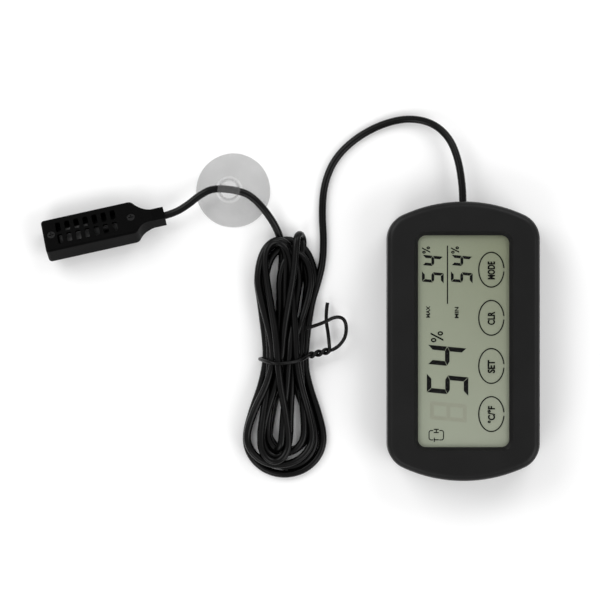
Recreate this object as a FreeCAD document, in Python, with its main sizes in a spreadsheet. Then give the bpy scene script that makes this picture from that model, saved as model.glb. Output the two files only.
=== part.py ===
import FreeCAD, Part
import math
import os
from types import SimpleNamespace

import Sketcher

# Digital maximum minimum thermometer: a display unit that lies on its back, a slotted probe, and the
# cord between them, tied in a hank and threaded through a suction cup.
# Millimetres. The origin is the centre of the display unit's flat back. +Z points out of the screen and
# +Y towards the end where the cord leaves. Everything lies on the plane z = 0.

os.makedirs("parts", exist_ok=True)
doc = FreeCAD.newDocument("MaximumMinimumThermometer")


# ---- Driving dimensions -------------------------------------------------------------------------

DIMENSIONS = {
    # display case
    "case_width": 57.0,
    "case_length": 104.4,
    "case_depth": 19.0,
    "end_radius": 54.0,
    "corner_radius": 10.0,
    "case_wall": 1.8,
    "back_plate": 2.0,
    "bezel_plate": 1.6,
    "parting_height": 9.5,
    "front_edge_round": 2.4,
    "back_edge_round": 1.4,
    "window_width": 34.0,
    "window_length": 79.0,
    "window_corner": 3.0,
    "window_bevel": 1.5,
    # screen layers, from the bezel inwards
    "panel_width": 41.2,
    "panel_length": 86.0,
    "panel_thickness": 1.1,
    "panel_corner": 2.0,
    "film_margin": 0.4,
    "film_thickness": 0.2,
    "film_tail_width": 8.0,
    "film_tail_middle": 14.0,
    "polariser_thickness": 0.2,
    "glass_thickness": 0.7,
    "glass_left": 18.7,
    "glass_right": 20.7,
    "glass_length": 82.0,
    "contact_ledge": 3.0,
    "lcd_frame_width": 44.0,
    "lcd_frame_length": 85.6,
    "lcd_frame_floor": 0.8,
    "zebra_width": 1.6,
    "zebra_middle": 19.2,
    "zebra_length": 72.0,
    "light_hole_left": 4.0,
    "light_hole_right": 5.0,
    "light_hole_end": 2.0,
    "glass_play": 0.3,
    # circuit board
    "board_left": -2.2,
    "board_right": 25.4,
    "board_length": 76.0,
    "board_thickness": 1.0,
    "board_underside": 10.2,
    "board_screw_across": 23.9,
    "board_screw_pitch": 30.0,
    "board_boss_radius": 1.7,
    "board_screw_radius": 0.75,
    "board_screw_head_radius": 1.4,
    "board_screw_head": 1.2,
    "board_screw_length": 5.2,
    "blob_radius": 6.0,
    "blob_height": 1.6,
    "crystal_radius": 1.0,
    "crystal_length": 6.0,
    "crystal_across": 20.0,
    "crystal_along": -20.0,
    "chips_across": 4.0,
    "chips_along": -22.0,
    "chip_pitch_across": 3.2,
    "chip_pitch_along": 2.6,
    "board_corner": 1.0,
    "blob_across": 12.0,
    "chip_length": 1.6,
    "chip_width": 0.8,
    "chip_height": 0.6,
    # case screws and their posts
    "case_screw_across": 14.0,
    "case_screw_along": 46.3,
    "front_boss_radius": 2.0,
    "rear_post_radius": 3.0,
    "rear_post_height": 5.0,
    "case_screw_radius": 1.0,
    "case_screw_head_radius": 1.9,
    "case_screw_head": 1.5,
    "case_screw_length": 11.0,
    "counterbore_radius": 2.2,
    "counterbore_depth": 3.0,
    # battery bay, for two AAA cells side by side
    "cell_radius": 5.25,
    "cell_length": 44.5,
    "cell_nub_radius": 1.9,
    "cell_nub_height": 1.0,
    "cell_crimp": 0.4,
    "cell_height": 7.05,
    "cell_pitch": 10.8,
    "bay_middle": -14.7,
    "bay_width": 22.0,
    "bay_length": 50.4,
    "bay_ceiling": 12.5,
    "bay_wall": 0.9,
    "bay_end_wall": 1.2,
    "contact_thickness": 0.5,
    "contact_width": 7.0,
    "contact_bottom": 3.8,
    "contact_height": 7.0,
    "contact_tab_width": 2.0,
    "contact_tab_length": 2.6,
    "contact_tab_thickness": 0.4,
    "contact_tab_height": 9.6,
    "spring_radius": 2.8,
    "spring_wire_radius": 0.35,
    "spring_turns": 3.0,
    # battery door
    "door_ledge": 1.6,
    "door_thickness": 1.4,
    "door_inset": 0.1,
    "door_clearance": 0.2,
    "door_rim": 0.9,
    "door_tab_width": 5.0,
    "door_tab_reach": 1.8,
    "door_tab_bottom": 2.1,
    "door_tab_thickness": 1.0,
    "door_latch_width": 6.4,
    "door_latch_height": 6.0,
    "door_latch_leg": 0.7,
    "door_latch_depth": 2.3,
    "door_latch_lip": 0.6,
    "door_groove_width": 0.6,
    "door_groove_pitch": 1.5,
    "door_groove_start": 2.0,
    "door_groove_length": 10.0,
    "door_groove_depth": 0.4,
    # fold-out stand
    "stand_recess_left": 2.0,
    "stand_recess_right": 25.4,
    "stand_recess_length": 48.0,
    "stand_recess_depth": 3.5,
    "stand_recess_wall": 1.2,
    "stand_axis_across": 5.0,
    "stand_axis_height": 1.9,
    "stand_barrel_radius": 1.3,
    "stand_pin_radius": 1.0,
    "stand_pin_clearance": 0.05,
    "stand_end": 23.6,
    "stand_thickness": 2.0,
    "stand_bottom": 0.6,
    "stand_length": 46.8,
    "stand_panel_depth": 0.5,
    "stand_panel_margin": 3.5,
    "stand_notch_radius": 6.0,
    "stand_notch_reach": 2.2,
    "stand_pin_reach": 3.4,
    # cord
    "cable_radius": 1.4,
    "cable_bore_radius": 1.7,
    "saddle_width": 5.2,
    "stop_radius": 2.5,
    "stop_width": 2.0,
    "stop_behind_screw": 1.1,
    "stop_head_half": 1.6,
    "stop_head_bottom": 1.5,
    "stop_head_top": 4.2,
    "lead_radius": 0.5,
    "tie_radius": 0.62,
    "hank_height": 11.3,
    "tie_groove_width": 5.5,
    "tie_groove_line": 7.0,
    "tie_groove_left": -90.0,
    "tie_groove_right": -45.0,
    "tie_groove_depth": 1.35,
    # suction cup
    "cup_radius": 14.1,
    "cup_rim_thickness": 0.9,
    "cup_rim_flat": 1.3,
    "cup_hollow": 2.6,
    "cup_dome_height": 4.2,
    "cup_dome_radius": 5.0,
    "knob_neck_radius": 3.2,
    "knob_head_radius": 4.35,
    "knob_head_thickness": 1.8,
    "knob_top": 11.2,
    "knob_lean": -1.5,
    "cord_bore_height": 7.4,
    # probe
    "probe_body_length": 33.4,
    "probe_half_width": 6.75,
    "probe_shoulder_radius": 2.5,
    "probe_waist_radius": 7.0,
    "probe_neck_half_width": 2.5,
    "probe_length": 46.0,
    "probe_height": 9.5,
    "probe_parting": 4.6,
    "probe_wall": 1.2,
    "probe_neck_bottom": 1.75,
    "probe_neck_top": 7.45,
    "probe_neck_start": 41.3,
    "cord_in_neck": 3.45,
    "wire_channel_middle": 2.8,
    "wire_channel_width": 1.7,
    "wire_channel_length": 5.0,
    "probe_face_round": 0.8,
    "probe_back_round": 1.6,
    "probe_corner_radius": 1.2,
    "probe_roll": 27.0,
    "slot_corner": 0.6,
    "probe_inside_corner": 1.5,
    "probe_head_sink": 0.2,
    "probe_hole_floor": 0.4,
    "board_rest_half": 8.0,
    "board_rest_width": 2.0,
    "board_rest_near": -4.5,
    "board_rest_far": 2.5,
    "probe_board_corner": 0.8,
    "sensor_start": 8.0,
    "sensor_end": 17.0,
    "sensor_half": 2.8,
    "sensor_height": 2.2,
    "bead_start": 22.0,
    "bead_radius": 1.1,
    "bead_length": 3.2,
    "bead_height": 1.5,
    "bead_leg": 0.4,
    "bead_leg_place": 22.6,
    "probe_heading": 12.5,
    "slot_first": 6.1,
    "slot_pitch": 3.5,
    "slot_width": 1.9,
    "slot_half_length": 4.5,
    "slot_rib": 1.0,
    "probe_screw_near": 3.0,
    "probe_screw_far": 33.6,
    "probe_screw_radius": 0.8,
    "probe_screw_head_radius": 1.5,
    "probe_screw_head": 1.0,
    "probe_screw_length": 5.5,
    "probe_post_radius": 2.1,
    "probe_board_left": 5.6,
    "probe_board_right": 30.6,
    "probe_board_half_width": 5.3,
    "probe_board_bottom": 3.6,
    "probe_board_thickness": 1.0,
}

DOOR_GROOVES = 5
PROBE_SLOTS = 7
CHIP_COLUMNS = 3
CHIP_LINES = 3
CUT_SPARE = 0.1
CROSS_REACH = 0.62
CROSS_BLADE = 0.13
CORE_SPREAD = 0.55
CORE_LIFT = 0.35
FIRST_LANDING = 4.0
LANDING_PITCH = 2.2
LANDING_LINE = 35.0


class Size:
    """A length together with the spreadsheet expression that drives it."""

    def __init__(self, number, expression):
        self.number = number
        self.expression = expression

    def __add__(self, other):
        other = as_size(other)
        return Size(self.number + other.number, f"({self.expression} + {other.expression})")

    def __sub__(self, other):
        other = as_size(other)
        return Size(self.number - other.number, f"({self.expression} - {other.expression})")

    def __mul__(self, factor):
        return Size(self.number * factor, f"({self.expression} * {factor})")

    def __truediv__(self, divisor):
        return Size(self.number / divisor, f"({self.expression} / {divisor})")

    def __neg__(self):
        return Size(-self.number, f"(-{self.expression})")

    def __rsub__(self, other):
        return as_size(other) - self


def as_size(length):
    return length if isinstance(length, Size) else Size(float(length), f"({float(length)})")


sheet = doc.addObject("Spreadsheet::Sheet", "Dimensions")
for row, (alias, length) in enumerate(DIMENSIONS.items(), start=1):
    sheet.set(f"A{row}", alias)
    sheet.set(f"B{row}", str(length))
    sheet.setAlias(f"B{row}", alias)
doc.recompute()
D = SimpleNamespace(**{alias: Size(float(sheet.get(alias)), f"Dimensions.{alias}") for alias in DIMENSIONS})


# ---- Helpers: sketches and features of a body ---------------------------------------------------

nodes = {}


def bind(item, **lengths):
    for name, length in lengths.items():
        item.setExpression(name, as_size(length).expression)


def new_body(label):
    """A sub-part made as a PartDesign body. Its label is its node name."""
    body = doc.addObject("PartDesign::Body", label)
    body.Label = label
    nodes[label] = body
    return body


def sketch_on(body, plane, offset=0.0):
    """A sketch parallel to one of the body's own origin planes, offset along the plane's normal."""
    sketch = body.newObject("Sketcher::SketchObject", f"{body.Label}_sketch")
    support = [item for item in body.Origin.OriginFeatures if item.Role == plane][0]
    sketch.AttachmentSupport = [(support, "")]
    sketch.MapMode = "FlatFace"
    sketch.setExpression("AttachmentOffset.Base.z", as_size(offset).expression)
    return sketch


def fix_distance(sketch, kind, geometry, point, length):
    """Ties one coordinate of a sketch point to a length measured from the sketch's origin."""
    length = as_size(length)
    if length.number < 0:
        index = sketch.addConstraint(Sketcher.Constraint(kind, geometry, point, -1, 1, -length.number))
        sketch.setExpression(f"Constraints[{index}]", (-length).expression)
    else:
        index = sketch.addConstraint(Sketcher.Constraint(kind, -1, 1, geometry, point, length.number))
        sketch.setExpression(f"Constraints[{index}]", length.expression)


def fix_point(sketch, geometry, point, across, along):
    fix_distance(sketch, "DistanceX", geometry, point, across)
    fix_distance(sketch, "DistanceY", geometry, point, along)


def fix_radius(sketch, geometry, radius):
    index = sketch.addConstraint(Sketcher.Constraint("Radius", geometry, as_size(radius).number))
    sketch.setExpression(f"Constraints[{index}]", as_size(radius).expression)


def vector(across, along):
    return FreeCAD.Vector(as_size(across).number, as_size(along).number, 0)


def draw_polygon(sketch, corners):
    """A closed outline with straight sides, every corner tied to the sketch's origin."""
    first = sketch.GeometryCount
    for start, end in zip(corners, corners[1:] + corners[:1]):
        sketch.addGeometry(Part.LineSegment(vector(*start), vector(*end)))
    for index, corner in enumerate(corners):
        previous = first + (index - 1) % len(corners)
        sketch.addConstraint(Sketcher.Constraint("Coincident", previous, 2, first + index, 1))
        fix_point(sketch, first + index, 1, *corner)


def draw_rectangle(sketch, left, right, bottom, top):
    draw_polygon(sketch, [(left, bottom), (right, bottom), (right, top), (left, top)])


def draw_circle(sketch, across, along, radius):
    number = as_size(radius).number
    normal = FreeCAD.Vector(0, 0, 1)
    geometry = sketch.addGeometry(Part.Circle(vector(across, along), normal, number))
    fix_point(sketch, geometry, 3, across, along)
    fix_radius(sketch, geometry, radius)


def arc(centre, radius, start_angle, end_angle):
    circle = Part.Circle(FreeCAD.Vector(*centre), FreeCAD.Vector(0, 0, 1), radius)
    return Part.ArcOfCircle(circle, start_angle, end_angle)


def join_tangent(sketch, first, count):
    """Joins a closed run of lines and arcs end to end, tangent at every joint."""
    for index in range(count):
        following = first + (index + 1) % count
        sketch.addConstraint(Sketcher.Constraint("Tangent", first + index, 2, following, 1))


def draw_rounded_rectangle(sketch, left, right, bottom, top, corner):
    x0, x1, y0, y1 = (as_size(edge).number for edge in (left, right, bottom, top))
    r = as_size(corner).number
    quarter = math.pi / 2
    first = sketch.GeometryCount
    sketch.addGeometry(Part.LineSegment(FreeCAD.Vector(x0 + r, y0, 0), FreeCAD.Vector(x1 - r, y0, 0)))
    sketch.addGeometry(arc((x1 - r, y0 + r, 0), r, -quarter, 0))
    sketch.addGeometry(Part.LineSegment(FreeCAD.Vector(x1, y0 + r, 0), FreeCAD.Vector(x1, y1 - r, 0)))
    sketch.addGeometry(arc((x1 - r, y1 - r, 0), r, 0, quarter))
    sketch.addGeometry(Part.LineSegment(FreeCAD.Vector(x1 - r, y1, 0), FreeCAD.Vector(x0 + r, y1, 0)))
    sketch.addGeometry(arc((x0 + r, y1 - r, 0), r, quarter, 2 * quarter))
    sketch.addGeometry(Part.LineSegment(FreeCAD.Vector(x0, y1 - r, 0), FreeCAD.Vector(x0, y0 + r, 0)))
    sketch.addGeometry(arc((x0 + r, y0 + r, 0), r, 2 * quarter, 3 * quarter))
    join_tangent(sketch, first, 8)
    for side, direction in ((0, "Horizontal"), (2, "Vertical"), (4, "Horizontal"), (6, "Vertical")):
        sketch.addConstraint(Sketcher.Constraint(direction, first + side))
    for corner_arc in (3, 5, 7):
        sketch.addConstraint(Sketcher.Constraint("Equal", first + 1, first + corner_arc))
    fix_radius(sketch, first + 1, corner)
    fix_distance(sketch, "DistanceY", first, 1, bottom)
    fix_distance(sketch, "DistanceX", first + 2, 1, right)
    fix_distance(sketch, "DistanceY", first + 4, 1, top)
    fix_distance(sketch, "DistanceX", first + 6, 1, left)


def draw_case_outline(sketch, inset):
    """The display unit's outline: straight sides, large end arcs and round corners, moved in by inset."""
    half_width = D.case_width / 2 - inset
    corner_radius = D.corner_radius - inset
    end_radius = D.end_radius - inset
    drop = D.end_radius - D.case_length / 2
    corner_x = D.case_width.number / 2 - D.corner_radius.number
    centre_distance = D.end_radius.number - D.corner_radius.number
    corner_y = math.sqrt(centre_distance ** 2 - corner_x ** 2) - drop.number
    swing = math.acos(corner_x / centre_distance)
    side, small, large = half_width.number, corner_radius.number, end_radius.number
    turn = math.pi
    first = sketch.GeometryCount
    sketch.addGeometry(Part.LineSegment(vector(side, -corner_y), vector(side, corner_y)))
    sketch.addGeometry(arc((corner_x, corner_y, 0), small, 0, swing))
    sketch.addGeometry(arc((0, -drop.number, 0), large, swing, turn - swing))
    sketch.addGeometry(arc((-corner_x, corner_y, 0), small, turn - swing, turn))
    sketch.addGeometry(Part.LineSegment(vector(-side, corner_y), vector(-side, -corner_y)))
    sketch.addGeometry(arc((-corner_x, -corner_y, 0), small, turn, turn + swing))
    sketch.addGeometry(arc((0, drop.number, 0), large, turn + swing, 2 * turn - swing))
    sketch.addGeometry(arc((corner_x, -corner_y, 0), small, 2 * turn - swing, 2 * turn))
    join_tangent(sketch, first, 8)
    for corner_arc in (3, 5, 7):
        sketch.addConstraint(Sketcher.Constraint("Equal", first + 1, first + corner_arc))
    sketch.addConstraint(Sketcher.Constraint("Equal", first + 2, first + 6))
    fix_radius(sketch, first + 1, corner_radius)
    fix_radius(sketch, first + 2, end_radius)
    fix_distance(sketch, "DistanceX", first, 1, half_width)
    fix_distance(sketch, "DistanceX", first + 4, 1, -half_width)
    fix_point(sketch, first + 2, 3, 0, -drop)
    fix_point(sketch, first + 6, 3, 0, drop)


def add_feature(body, kind, sketch, length, reverse, symmetric):
    feature = body.newObject(f"PartDesign::{kind}", f"{body.Label}_{kind}")
    feature.Profile = sketch
    feature.SideType = "Symmetric" if symmetric else "One side"
    feature.Reversed = reverse
    bind(feature, Length=length)
    sketch.Visibility = False
    doc.recompute()
    return feature


def pad(body, sketch, length, reverse=False, symmetric=False):
    return add_feature(body, "Pad", sketch, length, reverse, symmetric)


def pocket(body, sketch, length, reverse=False, symmetric=False):
    """Cuts against the sketch's normal, or along it when reversed, and checks that material went."""
    before = body.Shape.Volume
    feature = add_feature(body, "Pocket", sketch, length, reverse, symmetric)
    if body.Shape.Volume > before - 1e-3:
        raise RuntimeError(f"{feature.Name} cuts nothing")
    return feature


def revolve(body, sketch, axis="V_Axis"):
    feature = body.newObject("PartDesign::Revolution", f"{body.Label}_Revolution")
    feature.Profile = sketch
    feature.ReferenceAxis = (sketch, [axis])
    feature.Angle = 360
    doc.recompute()
    return feature


def edge_names(feature, wanted):
    """Names of the feature's edges whose bounding box the given test accepts."""
    edges = enumerate(feature.Shape.Edges, start=1)
    return [f"Edge{index}" for index, edge in edges if wanted(edge.BoundBox)]


def dress(body, kind, base, wanted, **lengths):
    """A Fillet or Chamfer on the chosen edges of the last feature."""
    feature = body.newObject(f"PartDesign::{kind}", f"{body.Label}_{kind}")
    feature.Base = (base, edge_names(base, wanted))
    bind(feature, **lengths)
    doc.recompute()
    return feature


def level(height):
    """A test for edges that lie flat at one height."""
    number = as_size(height).number
    return lambda box: abs(box.ZMin - number) < 1e-4 and abs(box.ZMax - number) < 1e-4


# ---- Helpers: plates, blocks, rods and wires ----------------------------------------------------

def plate(label, left, right, bottom, top, corner, height, thickness):
    """A flat sheet with rounded corners, its lower face at the given height."""
    body = new_body(label)
    sketch = sketch_on(body, "XY_Plane", height)
    draw_rounded_rectangle(sketch, left, right, bottom, top, corner)
    pad(body, sketch, thickness)
    return body


def block(left, right, front, back, bottom, top):
    item = doc.addObject("Part::Box", "block")
    left, front, bottom = as_size(left), as_size(front), as_size(bottom)
    bind(item, Length=right - left, Width=back - front, Height=top - bottom)
    bind(item, **{"Placement.Base.x": left, "Placement.Base.y": front, "Placement.Base.z": bottom})
    return item


TURNS = {
    "X": FreeCAD.Rotation(FreeCAD.Vector(0, 1, 0), 90),
    "Y": FreeCAD.Rotation(FreeCAD.Vector(1, 0, 0), -90),
    "Z": FreeCAD.Rotation(),
}


def rod(axis, start, radius, length, name="Part::Cylinder"):
    """A round bar from its start point along a row axis."""
    item = doc.addObject(name, "rod")
    item.Placement = FreeCAD.Placement(FreeCAD.Vector(), TURNS[axis])
    bind(item, Radius=radius, Height=length)
    for letter, position in zip("xyz", start):
        item.setExpression(f"Placement.Base.{letter}", as_size(position).expression)
    return item


def fuse(items, label):
    fused = doc.addObject("Part::MultiFuse", label)
    fused.Shapes = items
    fused.Label = label
    return fused


def cut(base, tool, label):
    result = doc.addObject("Part::Cut", label)
    result.Base = base
    result.Tool = tool
    result.Label = label
    return result


def group(items, label):
    """Separate solids that share one node."""
    compound = doc.addObject("Part::Compound", label)
    compound.Links = items
    compound.Label = label
    nodes[label] = compound
    return compound


def keep(item, label):
    item.Label = label
    nodes[label] = item
    return item


def tube_path(points):
    """Straight runs joined by tangent arcs, each as large as its two runs allow."""
    corners = [FreeCAD.Vector(*point) for point in points]
    edges = []
    radii = []
    start = corners[0]
    for before, corner, after in zip(corners, corners[1:], corners[2:]):
        arriving = corner - before
        leaving = after - corner
        turn = arriving.getAngle(leaving)
        setback = 0.45 * min(arriving.Length, leaving.Length)
        radius = setback / math.tan(turn / 2)
        arriving.normalize()
        leaving.normalize()
        inwards = (leaving - arriving).normalize()
        arc_start = corner - arriving * setback
        arc_end = corner + leaving * setback
        arc_middle = corner + inwards * (radius / math.cos(turn / 2) - radius)
        edges.append(Part.LineSegment(start, arc_start).toShape())
        edges.append(Part.Arc(arc_start, arc_middle, arc_end).toShape())
        radii.append(radius)
        start = arc_end
    edges.append(Part.LineSegment(start, corners[-1]).toShape())
    return Part.Wire(edges), radii


def tube(label, points, radius):
    """A round cord of one thickness along a route of points."""
    number = as_size(radius).number
    path, radii = tube_path(points)
    start = FreeCAD.Vector(*points[0])
    direction = FreeCAD.Vector(*points[1]) - start
    profile = Part.Wire(Part.Circle(start, direction, number).toShape())
    solid = path.makePipeShell([profile], True, False)
    expected = math.pi * number ** 2 * path.Length
    if abs(solid.Volume / expected - 1) > 0.01:
        raise RuntimeError(f"{label} has lost its section")
    print(f"{label}: length {path.Length:.1f} mm, smallest bend radius {min(radii):.1f} mm")
    item = doc.addObject("Part::Feature", label)
    item.Label = label
    item.Shape = solid
    item.Placement = FreeCAD.Placement()
    return item


# ---- Heights and places shared by several pieces ------------------------------------------------

panel_bottom = D.case_depth - D.bezel_plate - D.panel_thickness
film_bottom = panel_bottom - D.film_thickness
front_glass_bottom = film_bottom - D.polariser_thickness - D.glass_thickness
rear_glass_bottom = front_glass_bottom - D.glass_thickness
reflector_bottom = rear_glass_bottom - D.polariser_thickness
bezel_underside = D.case_depth - D.bezel_plate
board_top = D.board_underside + D.board_thickness
bay_left = D.bay_middle - D.bay_width / 2
bay_right = D.bay_middle + D.bay_width / 2
bay_end = D.bay_length / 2
bay_outer_end = bay_end + D.bay_end_wall
inner_side = D.case_width / 2 - D.case_wall
cell_lines = [D.bay_middle - D.cell_pitch / 2, D.bay_middle + D.cell_pitch / 2]
case_screw_places = [(x, y) for x in (-D.case_screw_across, D.case_screw_across)
                     for y in (-D.case_screw_along, D.case_screw_along)]
board_screw_places = [(D.board_screw_across, y)
                      for y in (-D.board_screw_pitch, as_size(0.0), D.board_screw_pitch)]


# The route is picked by hand. It starts inside the display's end wall and joins the hank's right side.
DISPLAY_ROUTE = [
    (0, 45.9, 9.5), (0, 57.0, 9.5), (-1.5, 67.9, 8.2), (-4.9, 76.6, 6.0), (-11.4, 82.3, 3.9),
    (-20.6, 84.0, 2.3), (-30.6, 81.6, 1.5), (-40.4, 76.2, 1.4), (-48.1, 68.6, 1.4), (-52.0, 59.0, 1.4),
    (-52.8, 48.5, 1.4), (-52.1, 38.0, 1.4), (-52.5, 29.2, 1.4), (-54.6, 21.0, 1.6), (-57.0, 13.6, 2.4),
]
# From under the hank's left loops, over the cup's rim, through the knob and on to the probe's neck.
PROBE_ROUTE = [
    (-67.4, 34.4, 1.5), (-69.2, 41.2, 2.4), (-72.6, 47.0, 5.4), (-77.2, 52.6, 7.0), (-82.2, 56.2, 7.4),
    (-93.2, 57.6, 7.4), (-98.6, 54.9, 7.4), (-103.4, 50.9, 7.1), (-109.0, 47.64, 6.61),
    (-115.26, 46.25, 6.61),
]

# ---- Display unit: covers -----------------------------------------------------------------------

def cut_cord_channel(body):
    """Half of the round channel through the end wall, on the parting plane."""
    channel_start = as_size(DISPLAY_ROUTE[0][1])
    sketch = sketch_on(body, "XZ_Plane", -channel_start)
    draw_circle(sketch, 0, D.parting_height, D.cable_radius)
    pocket(body, sketch, D.case_length / 2 + 1.0 - channel_start)


def make_front_cover():
    body = new_body("front_cover")
    outline = sketch_on(body, "XY_Plane", D.parting_height)
    draw_case_outline(outline, as_size(0.0))
    shell = pad(body, outline, D.case_depth - D.parting_height)
    dress(body, "Fillet", shell, level(D.case_depth), Radius=D.front_edge_round)

    inside = sketch_on(body, "XY_Plane", D.parting_height)
    draw_case_outline(inside, D.case_wall)
    pocket(body, inside, bezel_underside - D.parting_height, reverse=True)

    window = sketch_on(body, "XY_Plane", D.case_depth)
    draw_rounded_rectangle(window, -D.window_width / 2, D.window_width / 2,
                           -D.window_length / 2, D.window_length / 2, D.window_corner)
    opening = pocket(body, window, D.bezel_plate)
    reach = D.window_length.number / 2 + 0.01
    at_front = level(D.case_depth)
    dress(body, "Chamfer", opening, lambda box: at_front(box) and abs(box.YMax) < reach
          and abs(box.YMin) < reach and abs(box.XMax) < reach / 2, Size=D.window_bevel)

    bosses = sketch_on(body, "XY_Plane", bezel_underside)
    for across, along in case_screw_places:
        draw_circle(bosses, across, along, D.front_boss_radius)
    pad(body, bosses, bezel_underside - D.rear_post_height, reverse=True)
    board_bosses = sketch_on(body, "XY_Plane", bezel_underside)
    for across, along in board_screw_places:
        draw_circle(board_bosses, across, along, D.board_boss_radius)
    pad(body, board_bosses, bezel_underside - board_top, reverse=True)

    pilot_holes = sketch_on(body, "XY_Plane", D.rear_post_height)
    for across, along in case_screw_places:
        draw_circle(pilot_holes, across, along, D.case_screw_radius)
    pocket(body, pilot_holes, D.case_screw_length - 1.5, reverse=True)
    board_holes = sketch_on(body, "XY_Plane", board_top)
    for across, along in board_screw_places:
        draw_circle(board_holes, across, along, D.board_screw_radius)
    pocket(body, board_holes, D.board_screw_length - D.board_thickness + 0.3, reverse=True)
    cut_cord_channel(body)


def make_rear_cover():
    body = new_body("rear_cover")
    outline = sketch_on(body, "XY_Plane")
    draw_case_outline(outline, as_size(0.0))
    shell = pad(body, outline, D.parting_height)
    dress(body, "Fillet", shell, level(0.0), Radius=D.back_edge_round)
    inside = sketch_on(body, "XY_Plane", D.parting_height)
    draw_case_outline(inside, D.case_wall)
    pocket(body, inside, D.parting_height - D.back_plate)

    bay_block = sketch_on(body, "XY_Plane")
    draw_rectangle(bay_block, -inner_side, bay_right + D.bay_wall, -bay_outer_end, bay_outer_end)
    pad(body, bay_block, D.bay_ceiling + D.bay_wall)
    stand_block = sketch_on(body, "XY_Plane")
    half_recess = D.stand_recess_length / 2
    draw_rectangle(stand_block, D.stand_recess_left - D.stand_recess_wall, inner_side,
                   -half_recess - D.stand_recess_wall, half_recess + D.stand_recess_wall)
    pad(body, stand_block, D.stand_recess_depth + D.stand_recess_wall)
    posts = sketch_on(body, "XY_Plane")
    for across, along in case_screw_places:
        draw_circle(posts, across, along, D.rear_post_radius)
    pad(body, posts, D.rear_post_height)
    saddle = sketch_on(body, "XY_Plane")
    draw_rectangle(saddle, -D.saddle_width / 2, D.saddle_width / 2,
                   D.case_screw_along - 1.4, D.case_screw_along + 1.0)
    pad(body, saddle, D.parting_height)
    lip = sketch_on(body, "XY_Plane", D.parting_height - 3.0)
    draw_rectangle(lip, inner_side - 1.0, inner_side, -D.board_screw_pitch, D.board_screw_pitch)
    for side in (-1, 1):
        reach = D.board_screw_pitch * 1.2
        ends = sorted((D.board_screw_pitch * side, reach * side), key=lambda y: y.number)
        draw_rectangle(lip, -inner_side, 1.0 - inner_side, *ends)
    pad(body, lip, 4.5)

    bay = sketch_on(body, "XY_Plane")
    draw_rectangle(bay, bay_left, bay_right, -bay_end, bay_end)
    pocket(body, bay, D.bay_ceiling, reverse=True)
    ledge = sketch_on(body, "XY_Plane")
    draw_rectangle(ledge, bay_left - D.door_rim, bay_right + D.door_rim, -bay_outer_end, bay_outer_end)
    pocket(body, ledge, D.door_ledge, reverse=True)
    tab_notches = sketch_on(body, "XY_Plane")
    notch_half = D.door_tab_width / 2 + D.door_clearance * 2
    for line in cell_lines:
        draw_rectangle(tab_notches, line - notch_half, line + notch_half, bay_end, bay_outer_end)
    pocket(body, tab_notches, D.door_tab_bottom + D.door_tab_thickness + 0.7, reverse=True)
    latch_pocket = sketch_on(body, "XY_Plane")
    pocket_half = D.door_latch_width / 2 + 1.0
    draw_rectangle(latch_pocket, D.bay_middle - pocket_half, D.bay_middle + pocket_half,
                   -bay_outer_end - D.door_latch_depth, -bay_end)
    pocket(body, latch_pocket, D.door_latch_height + 1.0, reverse=True)

    tab_slots = sketch_on(body, "XZ_Plane", -bay_end)
    for line in cell_lines:
        draw_rectangle(tab_slots, line - D.contact_tab_width / 2, line + D.contact_tab_width / 2,
                       D.contact_tab_height, D.contact_tab_height + D.contact_tab_thickness)
    pocket(body, tab_slots, D.bay_end_wall)

    recess = sketch_on(body, "XY_Plane")
    draw_rectangle(recess, D.stand_recess_left, D.stand_recess_right, -half_recess, half_recess)
    pocket(body, recess, D.stand_recess_depth, reverse=True)
    hinge_holes = sketch_on(body, "XZ_Plane")
    draw_circle(hinge_holes, D.stand_axis_across, D.stand_axis_height,
                D.stand_pin_radius + D.stand_pin_clearance)
    pocket(body, hinge_holes, D.stand_recess_length + D.stand_recess_wall * 2, symmetric=True)

    counterbores = sketch_on(body, "XY_Plane")
    shank_holes = sketch_on(body, "XY_Plane")
    for across, along in case_screw_places:
        draw_circle(counterbores, across, along, D.counterbore_radius)
        draw_circle(shank_holes, across, along, D.case_screw_radius)
    pocket(body, counterbores, D.counterbore_depth, reverse=True)
    pocket(body, shank_holes, D.rear_post_height, reverse=True)
    cut_cord_channel(body)


# ---- Display unit: moving pieces of the back ----------------------------------------------------

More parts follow.
